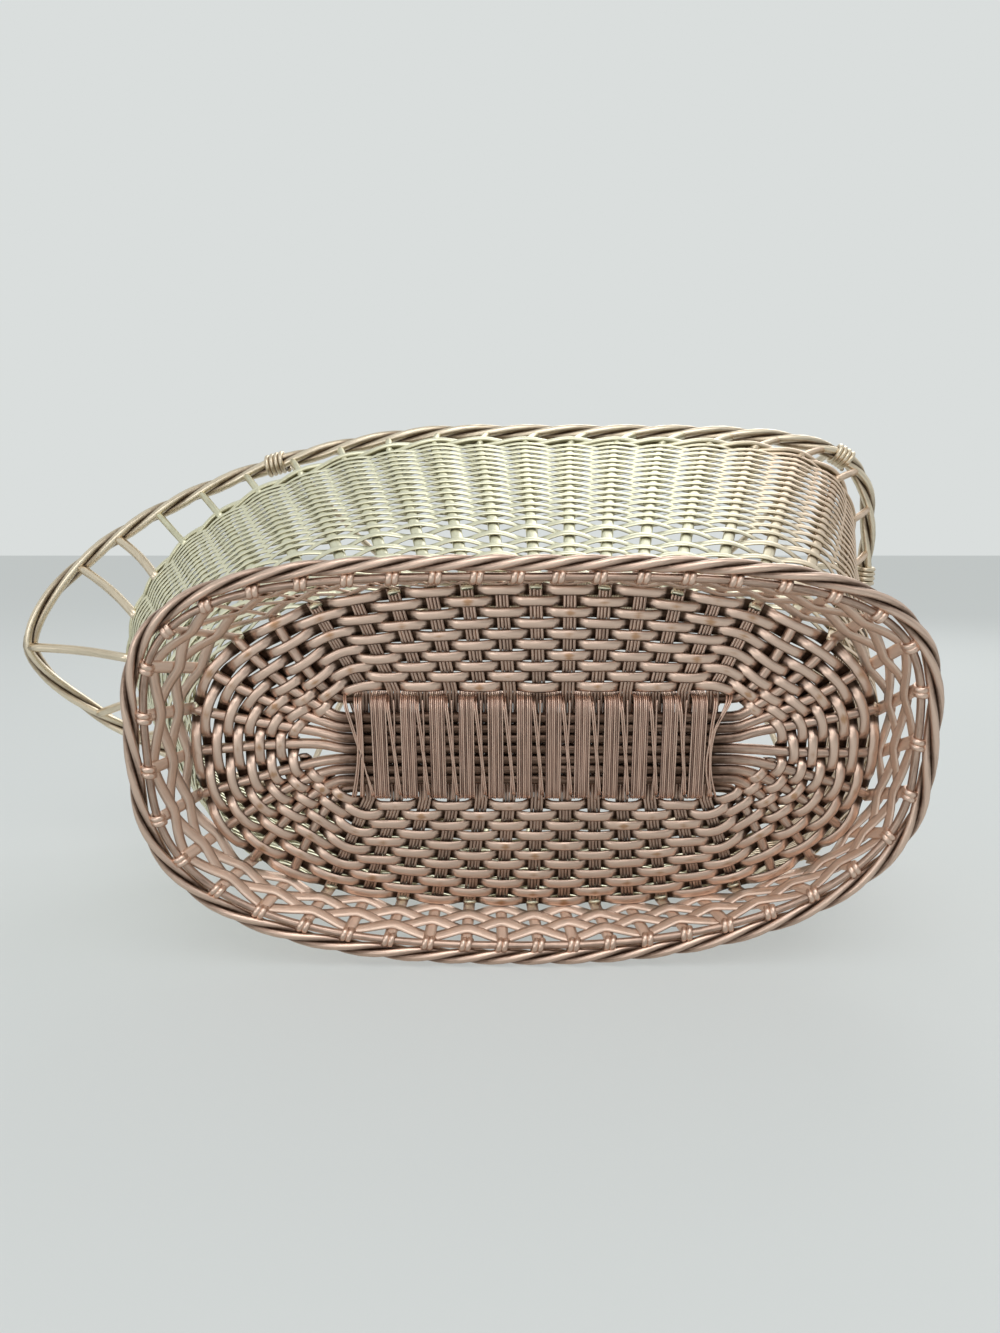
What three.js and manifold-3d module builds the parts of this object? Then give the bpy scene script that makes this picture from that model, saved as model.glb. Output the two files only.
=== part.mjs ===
// Wine basket: a cradle of woven metal wire that holds a bottle lying down while it is poured.
// Millimetres, +Z up. It stands on its foot rope at z = 0, and +X points to the pouring lip.
// The plan below is laid out from the middle of the foot. At the end the whole basket is shifted
// along X, so that the origin lies under the middle of its overall length.

import * as THREE from 'three';
import { mergeVertices } from 'three/addons/utils/BufferGeometryUtils.js';
import Module from 'manifold-3d';

const wasm = await Module();
wasm.setup();

// Clearance between two pieces that touch.
const seatGap = 0.3;

// Stakes: the upright wires that run from the base up the wall and down the foot.
const sideSpokeCount = 13;
const endRodCount = 9;
const stakeCount = 2 * (sideSpokeCount + endRodCount);
const baseCrowding = 0.18;
const footCrowding = 0.21;
const wallCrowding = 0.05;

// Foot: a rope on the floor, with a core wire inside it that carries a collar at every stake.
const footReach = 99.5;
const footHalfWidth = 54.4;
const footLeftBluntness = 3.7;
const footFrontRightBluntness = 2.6;
const footBackRightBluntness = 2.25;
const footRopeDiameter = 3.6;
const coreWireRadius = 0.7;
const collarRadius = 1.4;
const collarLength = 3.2;
const coreHeight = 2.4;

// Base: a woven panel, a little lower in the middle than at its edge.
const baseFrontReach = 88;
const baseBackReach = 90.3;
const baseHalfWidth = 45.4;
const baseBluntness = 2.7;
const baseHeight = 14;
const baseEdgeRise = 2.5;
const baseThickness = 2.4;

// Slath: the bound middle of the base, where long rods cross the side spokes.
const slathX = -2;
const slathY = 2.5;
const spokePitch = 7.3;
const spokeWidth = 3;
const spokeThickness = 1;
const rodPitch = 2.8;
const rodRadius = 1.05;
const bindingHalfWidth = 14.25;
const bindingThickness = 0.6;

// Skirt: the open lattice between the base and the foot.
const skirtThickness = 1.4;
const skirtRibbonWidth = 2.1;
const skirtStakeWidth = 2.4;
const skirtLevels = [0, 0.12, 0.3, 0.5, 0.72, 1];

// Wall: the woven side, closed by a twined border.
const wallFrontReach = 133.2;
const wallBackReach = 108;
const wallHalfWidth = 71.5;
const wallMiddle = 20;
const wallFrontBluntness = 1.83;
const wallBackBluntness = 6.5;
const wallThickness = 2.2;
const wallBulge = 1.5;
const wallRowCount = 42;
const wallRelief = 0.4;
const wallOpenness = 0.9;
const wallOpenRow = 10.5;
const wallOpenSpread = 1.8;
const borderHeight = 100;
const borderDiameter = 3;

// Rim: a rope carried on the stake ends, drawn out and dipped at the lip.
const rimFrontReach = 175.4;
const rimBackReach = 122.8;
const rimHalfWidth = 75.3;
const rimFrontBluntness = 1.69;
const rimBackBluntness = 6.4;
const rimHeight = 120;
const lipDip = 8;
const lipDipPower = 10;
const lipSpread = 0.0255;
const rimRopeDiameter = 4.5;
const postRadius = 1;
const lipRibCount = 5;

// Handle: four wires, bound side by side in the grip and tied to the rim in six places.
const gripMiddle = -15;
const gripLength = 90;
const gripHeight = 190;
const handleWireRadius = 1.2;
const handleWirePitch = 3.1;
const handleWrapThickness = 0.9;
const handleRise = 42;
const handleReach = 34;
const frontSeatStake = 5.65;
const outerRearSeatStake = 17.5;
const innerRearSeatStake = 20.5;
const seatLength = 8.5;
const seatThickness = 1;

// Facets.
const ringSteps = 88;
const shellColumns = 66;
const ropeSides = 8;
const wireSides = 6;

// Finishes.
const tarnishedSilver = new THREE.MeshStandardMaterial({ color: 0x9c8a7e, metalness: 1, roughness: 0.4 });
const paleSilver = new THREE.MeshStandardMaterial({ color: 0xc3c0a4, metalness: 1, roughness: 0.38 });
const darkSilver = new THREE.MeshStandardMaterial({ color: 0x86766c, metalness: 1, roughness: 0.42 });

const up = new THREE.Vector3(0, 0, 1);
const sideways = new THREE.Vector3(0, 1, 0);

// A horizontal oval seen in plan. Each quarter is a superellipse: bluntness 2 is an ellipse, more is
// squarer and less is more pointed. t runs once round from the front, over the left side (+Y).
class Oval extends THREE.Curve {
  constructor({ middle = 0, front, back, half, frontLeft, frontRight, backLeft, backRight, height }) {
    super();
    Object.assign(this, { middle, front, back, half, frontLeft, frontRight, backLeft, backRight, height });
    this.arcLengthDivisions = 1440;
  }

  bluntnessAt(x, y) {
    if (x >= 0) return y >= 0 ? this.frontLeft : this.frontRight;
    return y >= 0 ? this.backLeft : this.backRight;
  }

  getPoint(t, target = new THREE.Vector3()) {
    const along = Math.cos(2 * Math.PI * t);
    const across = Math.sin(2 * Math.PI * t);
    const power = this.bluntnessAt(along, across);
    const swell = (Math.abs(along) ** power + Math.abs(across) ** power) ** (-1 / power);
    const reach = along >= 0 ? this.front : this.back;
    const x = reach * along * swell;
    return target.set(this.middle + x, this.half * across * swell, this.height(x / reach, along));
  }

  // How far out a point lies in plan: 0 in the middle, 1 on the oval.
  spread(x, y) {
    const power = this.bluntnessAt(x - this.middle, y);
    const reach = x >= this.middle ? this.front : this.back;
    return (Math.abs((x - this.middle) / reach) ** power + Math.abs(y / this.half) ** power) ** (1 / power);
  }

  // Outward direction in plan at the fraction u of the length round the oval.
  outward(u) {
    const tangent = this.getTangentAt(wrap(u));
    return new THREE.Vector3(tangent.y, -tangent.x, 0).normalize();
  }

  at(u, inset = 0, lift = 0) {
    return this.getPointAt(wrap(u)).addScaledVector(this.outward(u), -inset).addScaledVector(up, lift);
  }
}

function wrap(u) {
  return ((u % 1) + 1) % 1;
}

function evenOval({ middle = 0, front, back, half, frontBluntness, backBluntness, height }) {
  return new Oval({
    middle,
    front: front - middle,
    back: back + middle,
    half,
    frontLeft: frontBluntness,
    frontRight: frontBluntness,
    backLeft: backBluntness,
    backRight: backBluntness,
    height,
  });
}

const footOval = new Oval({
  front: footReach,
  back: footReach,
  half: footHalfWidth,
  frontLeft: footLeftBluntness,
  backLeft: footLeftBluntness,
  frontRight: footFrontRightBluntness,
  backRight: footBackRightBluntness,
  height: () => 0,
});

const baseOval = evenOval({
  front: baseFrontReach,
  back: baseBackReach,
  half: baseHalfWidth,
  frontBluntness: baseBluntness,
  backBluntness: baseBluntness,
  height: () => 0,
});

const wallOval = evenOval({
  middle: wallMiddle,
  front: wallFrontReach,
  back: wallBackReach,
  half: wallHalfWidth,
  frontBluntness: wallFrontBluntness,
  backBluntness: wallBackBluntness,
  height: () => 0,
});

const rimOval = evenOval({
  middle: wallMiddle,
  front: rimFrontReach,
  back: rimBackReach,
  half: rimHalfWidth,
  frontBluntness: rimFrontBluntness,
  backBluntness: rimBackBluntness,
  height: (reached, along) => rimHeight - (along > 0 ? lipDip * reached ** lipDipPower : 0),
});

// Fraction of the way round at which a stake stands. Stakes crowd on the long sides.
function stakeFraction(stake, crowding) {
  const turn = stake / stakeCount;
  return turn + (crowding * Math.sin(4 * Math.PI * turn)) / (4 * Math.PI);
}

// The stake ends spread at the lip, so that the ones beside the middle rib stand wider at the rim.
function rimFraction(stake) {
  const turn = stake / stakeCount - Math.round(stake / stakeCount);
  return turn + Math.sign(turn) * lipSpread * (1 - (2 * turn) ** 2);
}

// A closed solid from vertices and triangles, turned so that its faces point out.
function solid(vertices, triangles) {
  let volume = 0;
  for (const [a, b, c] of triangles) {
    volume += vertices[a].dot(new THREE.Vector3().crossVectors(vertices[b], vertices[c]));
  }
  const outward = volume > 0 ? triangles : triangles.map(([a, b, c]) => [a, c, b]);
  const geometry = new THREE.BufferGeometry();
  const positions = vertices.flatMap((vertex) => vertex.toArray());
  geometry.setAttribute('position', new THREE.Float32BufferAttribute(positions, 3));
  geometry.setIndex(outward.flat());
  geometry.computeVertexNormals();
  return geometry;
}

// Skins a row of sections, each a loop of the same number of points. A closed row joins its last
// section to its first. An open one gets a flat cap at each end.
function loft(sections, closed) {
  const size = sections[0].length;
  const rows = sections.length;
  const triangles = [];
  for (let row = 0; row < (closed ? rows : rows - 1); row += 1) {
    const next = (row + 1) % rows;
    for (let side = 0; side < size; side += 1) {
      const beside = (side + 1) % size;
      const corners = [row * size + side, next * size + side, next * size + beside, row * size + beside];
      triangles.push([corners[0], corners[1], corners[2]], [corners[0], corners[2], corners[3]]);
    }
  }
  if (!closed) {
    for (let side = 1; side < size - 1; side += 1) {
      const last = (rows - 1) * size;
      triangles.push([0, side, side + 1], [last, last + side + 1, last + side]);
    }
  }
  return solid(sections.flat(), triangles);
}

// A regular polygon whose flats lie at the given radius, with a flat at the bottom.
function polygon(flatRadius, sides) {
  const cornerRadius = flatRadius / Math.cos(Math.PI / sides);
  return Array.from({ length: sides }, (_, side) => {
    const angle = -Math.PI / 2 + (2 * Math.PI * (side + 0.5)) / sides;
    return new THREE.Vector2(cornerRadius * Math.cos(angle), cornerRadius * Math.sin(angle));
  });
}

// A round wire bent at the given points. None of its parts may run along the side direction.
function wire(points, radius, side = up) {
  const sections = points.map((place, row) => {
    const before = points[Math.max(row - 1, 0)];
    const after = points[Math.min(row + 1, points.length - 1)];
    const run = after.clone().sub(before).normalize();
    const across = new THREE.Vector3().crossVectors(run, side).normalize();
    const rise = new THREE.Vector3().crossVectors(across, run);
    return polygon(radius, wireSides)
      .map(({ x, y }) => place.clone().addScaledVector(across, x).addScaledVector(rise, y));
  });
  return loft(sections, false);
}

// A ring that follows an oval. section(u) gives points of (outward offset, height).
function ring(oval, steps, section) {
  const sections = Array.from({ length: steps }, (_, step) => {
    const u = step / steps;
    return section(u).map(({ x, y }) => oval.at(u, -x, y));
  });
  return loft(sections, true);
}

const finishedMeshes = [];
function addPiece(name, geometry, material) {
  const mesh = new THREE.Mesh(geometry, material);
  mesh.name = name;
  finishedMeshes.push(mesh);
}

// Joining and cutting.
function toManifold(geometry) {
  const bare = geometry.clone();
  bare.deleteAttribute('normal');
  bare.deleteAttribute('uv');
  const merged = mergeVertices(bare, 1e-4);
  return new wasm.Manifold(new wasm.Mesh({
    numProp: 3,
    vertProperties: new Float32Array(merged.attributes.position.array),
    triVerts: new Uint32Array(merged.index.array),
  }));
}

function fromManifold(body) {
  const mesh = body.getMesh();
  const geometry = new THREE.BufferGeometry();
  geometry.setAttribute('position', new THREE.Float32BufferAttribute(mesh.vertProperties, 3));
  geometry.setIndex(Array.from(mesh.triVerts));
  geometry.computeVertexNormals();
  return geometry;
}

// Base panel heights at a place in plan.
function baseMidHeight(x, y) {
  return baseHeight + baseEdgeRise * baseOval.spread(x, y) ** 4;
}
const baseEdgeTop = baseHeight + baseEdgeRise + baseThickness / 2;
const baseEdgeUnder = baseHeight + baseEdgeRise - baseThickness / 2;

// The slath is layered from below: rods, then the side spokes, then one edge rod on each side.
const rodHeight = baseHeight - baseThickness / 2 - seatGap - rodRadius;
const slathSpokeHeight = rodHeight + rodRadius + seatGap + spokeThickness / 2;
const edgeRodHeight = slathSpokeHeight + spokeThickness / 2 + seatGap + rodRadius;
const edgeRodOffset = bindingHalfWidth - bindingThickness - seatGap - rodRadius;
const rodSpan = (endRodCount - 3) / 2;
const bindingWidth = spokePitch - spokeWidth - 2 * seatGap;
const endWindingOffset = (sideSpokeCount / 2) * spokePitch;
const slathHalfLength = endWindingOffset + bindingWidth / 2 + seatGap;
const slathHalfWidth = bindingHalfWidth + 2 * seatGap;
const slathBluntness = 20;
const wireCorner = 1 / Math.cos(Math.PI / wireSides);

// Base weave: the woven panel round the slath.
function makeBaseWeave() {
  const slathOval = new Oval({
    front: slathHalfLength,
    back: slathHalfLength,
    half: slathHalfWidth,
    frontLeft: slathBluntness,
    frontRight: slathBluntness,
    backLeft: slathBluntness,
    backRight: slathBluntness,
    height: () => 0,
  });
  const steps = [0, 0.35, 0.65, 0.85, 1];
  const sections = Array.from({ length: shellColumns }, (_, column) => {
    const t = column / shellColumns;
    const inner = slathOval.getPoint(t).add(new THREE.Vector3(slathX, slathY, 0));
    const outer = baseOval.getPoint(t);
    const under = steps.map((step) => {
      const place = inner.clone().lerp(outer, step);
      return place.setZ(baseMidHeight(place.x, place.y) - baseThickness / 2);
    });
    const over = under.map((place) => place.clone().addScaledVector(up, baseThickness)).reverse();
    return [...under, ...over];
  });
  addPiece('base_weave', loft(sections, true), tarnishedSilver);
}

// A rod runs the length of the slath and fans out under the weave at both ends. The two edge rods
// fan out over the weave.
function makeSlathRod(index) {
  const isEdge = Math.abs(index) > rodSpan;
  const across = isEdge ? Math.sign(index) * edgeRodOffset : index * rodPitch;
  const clear = baseThickness / 2 + seatGap + rodRadius * wireCorner;
  const points = [];
  for (const end of [-1, 1]) {
    const stake = end > 0 ? index : stakeCount / 2 - index;
    const outsideTip = isEdge ? wallThickness + wallRelief + rodRadius : skirtThickness;
    const edgeInset = outsideTip + seatGap + rodRadius;
    const tip = baseOval.at(stakeFraction(stake, baseCrowding), edgeInset);
    const start = new THREE.Vector3(slathX + end * slathHalfLength, slathY + across, 0);
    const arm = [0, 0.1, 0.3, 0.5, 0.7, 0.85, 1].map((step) => {
      const place = start.clone().lerp(tip, step);
      const height = baseMidHeight(place.x, place.y) + (isEdge ? clear + seatGap : -clear);
      return place.setZ(height);
    });
    const x = slathX + end * (isEdge ? 0.9 : 0.97) * slathHalfLength;
    arm.unshift(new THREE.Vector3(x, slathY + across, isEdge ? edgeRodHeight : rodHeight));
    points.push(...(end < 0 ? arm.reverse() : arm));
  }
  addPiece(rodName(index), wire(points, rodRadius), tarnishedSilver);
}

function rodName(index) {
  if (Math.abs(index) > rodSpan) return index > 0 ? 'slath_edge_rod_left' : 'slath_edge_rod_right';
  return `slath_rod_${index + rodSpan + 1}`;
}

// A side spoke is a flat bundle of thin wires. It passes over the rods in the slath, and under the
// weave on both sides.
function makeSideSpoke(index) {
  const half = (sideSpokeCount - 1) / 2;
  const along = slathX + index * spokePitch;
  const drop = baseThickness / 2 + seatGap + spokeThickness / 2;
  const rodsEdge = rodSpan * rodPitch + rodRadius * wireCorner + seatGap;
  const centre = [];
  for (const side of [-1, 1]) {
    const stake = side > 0 ? stakeCount / 4 - index : (3 * stakeCount) / 4 + index;
    const tip = baseOval.at(stakeFraction(stake, baseCrowding), skirtThickness + 2 * seatGap);
    const start = new THREE.Vector3(along, slathY + side * slathHalfWidth, 0);
    const arm = [0, 0.3, 0.6, 0.8, 1].map((step) => {
      const place = start.clone().lerp(tip, step);
      return place.setZ(baseMidHeight(place.x, place.y) - drop);
    });
    const beside = new THREE.Vector3(along, slathY + side * (slathHalfWidth - seatGap), arm[0].z);
    const inner = new THREE.Vector3(along, slathY + side * rodsEdge, slathSpokeHeight);
    centre.push(...(side < 0 ? [...arm.reverse(), beside, inner] : [inner, beside, ...arm]));
  }
  const sections = centre.map((place, row) => {
    const before = centre[Math.max(row - 1, 0)];
    const after = centre[Math.min(row + 1, centre.length - 1)];
    const run = after.clone().sub(before).setZ(0).normalize();
    const across = new THREE.Vector3(run.y, -run.x, 0).multiplyScalar(spokeWidth / 2);
    const rise = up.clone().multiplyScalar(spokeThickness / 2);
    return [
      place.clone().sub(across).sub(rise),
      place.clone().add(across).sub(rise),
      place.clone().add(across).add(rise),
      place.clone().sub(across).add(rise),
    ];
  });
  addPiece(`side_spoke_${index + half + 1}`, loft(sections, false), tarnishedSilver);
}

// A binding is a flat winding of fine wire round the rods of the slath. The outline is the left
// half of its inner face, from below upwards, and the outer face lies a wire's thickness outside it.
function makeBinding(name, offset, innerOutline) {
  const thick = bindingThickness;
  const shifts = [
    [0.4 * thick, -thick],
    [thick, -0.4 * thick],
    [thick, 0.4 * thick],
    [0.4 * thick, thick],
  ];
  const outerOutline = innerOutline.map(([y, z], corner) => [y + shifts[corner][0], z + shifts[corner][1]]);
  const loop = (half) => [...half, ...half.map(([y, z]) => [-y, z]).reverse()];
  const outer = loop(outerOutline);
  const inner = loop(innerOutline);
  const start = slathX + offset - bindingWidth / 2;
  const place = ([y, z], x) => new THREE.Vector3(x, slathY + y, z);
  const sections = outer.map((_, corner) => [
    place(outer[corner], start),
    place(outer[corner], start + bindingWidth),
    place(inner[corner], start + bindingWidth),
    place(inner[corner], start),
  ]);
  addPiece(name, loft(sections, true), darkSilver);
}

function makeBindings() {
  const reach = rodRadius * wireCorner + seatGap;
  const rodsEdge = rodSpan * rodPitch + reach;
  const low = rodHeight - reach;
  const high = edgeRodHeight + reach;
  const halfWidth = bindingHalfWidth - bindingThickness;
  const bevel = halfWidth - edgeRodOffset - rodRadius / 2;
  const roundAll = [
    [rodsEdge, low],
    [halfWidth, rodHeight + reach],
    [halfWidth, high - bevel],
    [halfWidth - bevel, high],
  ];
  for (let count = 1; count < sideSpokeCount; count += 1) {
    makeBinding(`slath_binding_${count}`, (count - sideSpokeCount / 2) * spokePitch, roundAll);
  }
  const roundRods = [
    [rodsEdge - bevel, low],
    [rodsEdge, low + bevel],
    [rodsEdge, rodHeight],
    [rodsEdge - bevel, rodHeight + reach],
  ];
  makeBinding('slath_end_winding_front', endWindingOffset, roundRods);
  makeBinding('slath_end_winding_back', -endWindingOffset, roundRods);
}

function makeSlath() {
  for (let index = -rodSpan - 1; index <= rodSpan + 1; index += 1) makeSlathRod(index);
  const half = (sideSpokeCount - 1) / 2;
  for (let index = -half; index <= half; index += 1) makeSideSpoke(index);
  makeBindings();
}

// Foot rope: its outer edge is the foot's outline, and its bottom flat is what the basket stands on.
const footRopeRadius = footRopeDiameter / 2;
const coreInset = footRopeDiameter + seatGap + collarRadius;
function makeFoot() {
  const ropeSection = polygon(footRopeRadius, ropeSides)
    .map(({ x, y }) => new THREE.Vector2(x - footRopeRadius, y + footRopeRadius));
  addPiece('foot_rope', ring(footOval, ringSteps, () => ropeSection), tarnishedSilver);

  const sections = [];
  for (let stake = 0; stake < stakeCount; stake += 1) {
    const middle = stakeFraction(stake, footCrowding);
    const halfTurn = collarLength / 2 / footOval.getLength();
    const lip = 0.15 / footOval.getLength();
    const stations = [
      [middle - halfTurn - lip, coreWireRadius],
      [middle - halfTurn, collarRadius],
      [middle + halfTurn, collarRadius],
      [middle + halfTurn + lip, coreWireRadius],
    ];
    for (const [u, radius] of stations) {
      const section = polygon(radius * Math.cos(Math.PI / wireSides), wireSides);
      sections.push(section.map(({ x, y }) => footOval.at(u, coreInset - x, coreHeight + y)));
    }
  }
  addPiece('foot_core_wire', loft(sections, true), tarnishedSilver);
}

// Skirt: ribbons zigzag between the stakes and cross on them, so each stake shows in tall lens
// shaped windows. The lattice is drawn flat first, with the stake number across and the level down,
// where level 0 is the top edge and 1 the bottom edge.
function windowedTriangle(tip, upper, lower, stakeHalf, ribbonHalf) {
  const away = Math.sign(tip[0] - upper[0]);
  const tall = (lower[1] - upper[1]) / 2;
  const shrink = ribbonHalf / tall;
  const inner = [
    [tip[0] - away * shrink, tip[1]],
    [upper[0] + away * stakeHalf, THREE.MathUtils.lerp(upper[1], tip[1], stakeHalf) + ribbonHalf],
    [lower[0] + away * stakeHalf, THREE.MathUtils.lerp(lower[1], tip[1], stakeHalf) - ribbonHalf],
  ];
  const outer = [tip, upper, lower];
  return [0, 1, 2].flatMap((side) => {
    const next = (side + 1) % 3;
    return [
      [outer[side], outer[next], inner[next]],
      [outer[side], inner[next], inner[side]],
    ];
  });
}

function flatLattice(slant) {
  const stakeHalf = skirtStakeWidth / 2 / (footOval.getLength() / stakeCount);
  const ribbonHalf = skirtRibbonWidth / 2 / slant;
  const last = skirtLevels.length - 1;
  const flat = [];
  for (let level = 1; level < last; level += 1) {
    for (let stake = level % 2; stake < stakeCount; stake += 2) {
      const upper = [stake, skirtLevels[level - 1]];
      const lower = [stake, skirtLevels[level + 1]];
      for (const side of [-1, 1]) {
        const tip = [stake + side, skirtLevels[level]];
        flat.push(...windowedTriangle(tip, upper, lower, stakeHalf, ribbonHalf));
      }
    }
  }
  // Along the top and bottom edges the half windows are left solid.
  for (const [level, beside] of [[0, 1], [last, last - 1]]) {
    for (let stake = level % 2; stake < stakeCount; stake += 2) {
      for (const side of [-1, 1]) {
        const middle = [stake, skirtLevels[level]];
        flat.push([[stake, skirtLevels[beside]], [stake + side, skirtLevels[level]], middle]);
      }
    }
  }
  return flat;
}

function makeSkirtLattice() {
  const top = baseEdgeUnder - seatGap;
  const bottom = coreHeight + collarRadius + seatGap;
  const place = ([stake, level], inset) => {
    const lowInset = coreInset + inset - skirtThickness / 2;
    const low = footOval.at(stakeFraction(stake, footCrowding), lowInset, bottom);
    return baseOval.at(stakeFraction(stake, baseCrowding), inset, top).lerp(low, level);
  };
  const vertices = [];
  const numbers = new Map();
  const corner = ([stake, level]) => {
    const turn = wrap(stake / stakeCount) * stakeCount;
    const key = `${turn.toFixed(4)} ${level.toFixed(5)}`;
    if (!numbers.has(key)) {
      numbers.set(key, vertices.length);
      vertices.push(place([turn, level], 0), place([turn, level], skirtThickness));
    }
    return numbers.get(key);
  };
  const triangles = [];
  const edges = new Map();
  for (const [a, b, c] of flatLattice(place([0, 0], 0).distanceTo(place([0, 1], 0)))) {
    const area = (b[0] - a[0]) * (c[1] - a[1]) - (b[1] - a[1]) * (c[0] - a[0]);
    const [p, q, r] = (area > 0 ? [a, b, c] : [a, c, b]).map(corner);
    triangles.push([p, q, r], [r + 1, q + 1, p + 1]);
    for (const [from, to] of [[p, q], [q, r], [r, p]]) edges.set(`${from} ${to}`, [from, to]);
  }
  for (const [from, to] of edges.values()) {
    if (!edges.has(`${to} ${from}`)) triangles.push([to, from, from + 1], [to, from + 1, to + 1]);
  }
  addPiece('skirt_lattice', solid(vertices, triangles), tarnishedSilver);
}

// Wall: a woven shell that leans out from the base to the border.
const wallFootHeight = baseEdgeTop + seatGap;
const wallTopHeight = borderHeight - borderDiameter / 2 - seatGap;
function wallPoint(u, share, inset) {
  const low = baseOval.at(u);
  const high = wallOval.at(u);
  const outward = baseOval.outward(u).lerp(wallOval.outward(u), share).normalize();
  const height = THREE.MathUtils.lerp(wallFootHeight, wallTopHeight, share);
  const bulge = wallBulge * Math.sin(Math.PI * share);
  return low.lerp(high, share).addScaledVector(outward, bulge - inset).setZ(height);
}

// Heights of the rows' middles as shares of the wall. A few rows above the foot lie wider apart,
// by a bell curve of the row's number.
function wallRowShares() {
  const pitches = Array.from({ length: wallRowCount }, (_, row) => {
    return 1 + wallOpenness * Math.exp(-(((row - wallOpenRow) / wallOpenSpread) ** 2));
  });
  const total = pitches.reduce((sum, pitch) => sum + pitch);
  let reached = 0;
  return pitches.map((pitch) => {
    reached += pitch;
    return (reached - pitch / 2) / total;
  });
}

// A row stands out on every other stake and in on the ones between, where its neighbours stand out.
function makeWallWeave() {
  const shares = wallRowShares();
  const sections = Array.from({ length: stakeCount }, (_, stake) => {
    const place = (share, inset) => {
      const crowding = THREE.MathUtils.lerp(baseCrowding, wallCrowding, share);
      return wallPoint(stakeFraction(stake, crowding), share, inset);
    };
    const swing = (row) => ((row + stake) % 2 === 0 ? wallRelief : -wallRelief);
    const face = (inset) => [
      place(0, inset),
      ...shares.map((share, row) => place(share, inset - swing(row))),
      place(1, inset),
    ];
    return [...face(0), ...face(wallThickness).reverse()];
  });
  addPiece('wall_weave', loft(sections, true), paleSilver);
}

// Stake ends run from the border up to the rim rope. The ones at the lip are ribs of their own.
function borderPoint(stake) {
  return wallOval.at(stakeFraction(stake, wallCrowding), wallThickness / 2, borderHeight);
}

function rimPoint(stake) {
  return rimOval.at(rimFraction(stake), rimRopeDiameter / 2);
}

function isLipRib(stake) {
  return Math.abs(stake) <= (lipRibCount - 1) / 2;
}

// How far before a rope's middle line a leaning stake end stops, so that its flat end keeps clear.
function endSetback(lean, ropeRun, ropeReach) {
  const cosine = Math.abs(lean.dot(ropeRun));
  return (ropeReach + postRadius * wireCorner * cosine) / Math.sqrt(1 - cosine ** 2);
}

function makeBorderAndRibs() {
  const section = polygon(borderDiameter / 2, wireSides)
    .map(({ x, y }) => new THREE.Vector2(x - wallThickness / 2, y + borderHeight));
  const borderRing = ring(wallOval, ringSteps, () => section);
  const ropeReach = rimRopeDiameter / 2 / Math.cos(Math.PI / ropeSides) + seatGap;
  const borderReach = (borderDiameter / 2) * wireCorner + seatGap;
  let border = toManifold(borderRing);
  for (let stake = -stakeCount / 2 + 1; stake <= stakeCount / 2; stake += 1) {
    const foot = borderPoint(stake);
    const head = rimPoint(stake);
    const lean = head.clone().sub(foot).normalize();
    const ropeRun = rimOval.getTangentAt(wrap(rimFraction(stake)));
    const borderRun = wallOval.getTangentAt(wrap(stakeFraction(stake, wallCrowding)));
    const top = head.clone().addScaledVector(lean, -endSetback(lean, ropeRun, ropeReach));
    if (isLipRib(stake)) {
      const name = `lip_rib_${stake + (lipRibCount + 1) / 2}`;
      const bottom = foot.clone().addScaledVector(lean, endSetback(lean, borderRun, borderReach));
      addPiece(name, wire([bottom, top], postRadius), paleSilver);
    } else {
      border = border.add(toManifold(wire([foot, top], postRadius)));
    }
  }
  addPiece('wall_border', fromManifold(border), paleSilver);
}

function makeRimRope() {
  const radius = rimRopeDiameter / 2;
  const section = polygon(radius, ropeSides).map(({ x, y }) => new THREE.Vector2(x - radius, y));
  addPiece('rim_rope', ring(rimOval, ringSteps, () => section), paleSilver);
}

// A seat is a short sleeve of wrapped wire round the rim rope, where a handle wire is tied on.
const seatInside = rimRopeDiameter / 2 + seatGap;
const seatOutside = seatInside + seatThickness;
function makeRimSeat(name, stake) {
  const middle = rimFraction(stake);
  const halfTurn = seatLength / 2 / rimOval.getLength();
  const stations = [middle - halfTurn, middle, middle + halfTurn];
  const outer = polygon(seatOutside, ropeSides);
  const inner = polygon(seatInside, ropeSides);
  const placed = (u, { x, y }) => rimOval.at(u, rimRopeDiameter / 2 - x, y);
  const sections = outer.map((_, corner) => [
    ...stations.map((u) => placed(u, outer[corner])),
    ...stations.map((u) => placed(u, inner[corner])).reverse(),
  ]);
  addPiece(name, loft(sections, true), darkSilver);
}

function seatTop(stake) {
  return rimPoint(stake).addScaledVector(up, seatOutside + seatGap);
}

// A leg rises straight from its seat and bends over into the end of the grip.
function legPoints(stake, gripEnd, direction) {
  const foot = seatTop(stake);
  const lift = foot.clone().addScaledVector(up, handleRise);
  const lead = gripEnd.clone().add(new THREE.Vector3(direction * handleReach, 0, 0));
  return new THREE.CubicBezierCurve3(foot, lift, lead, gripEnd).getPoints(10);
}

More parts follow.
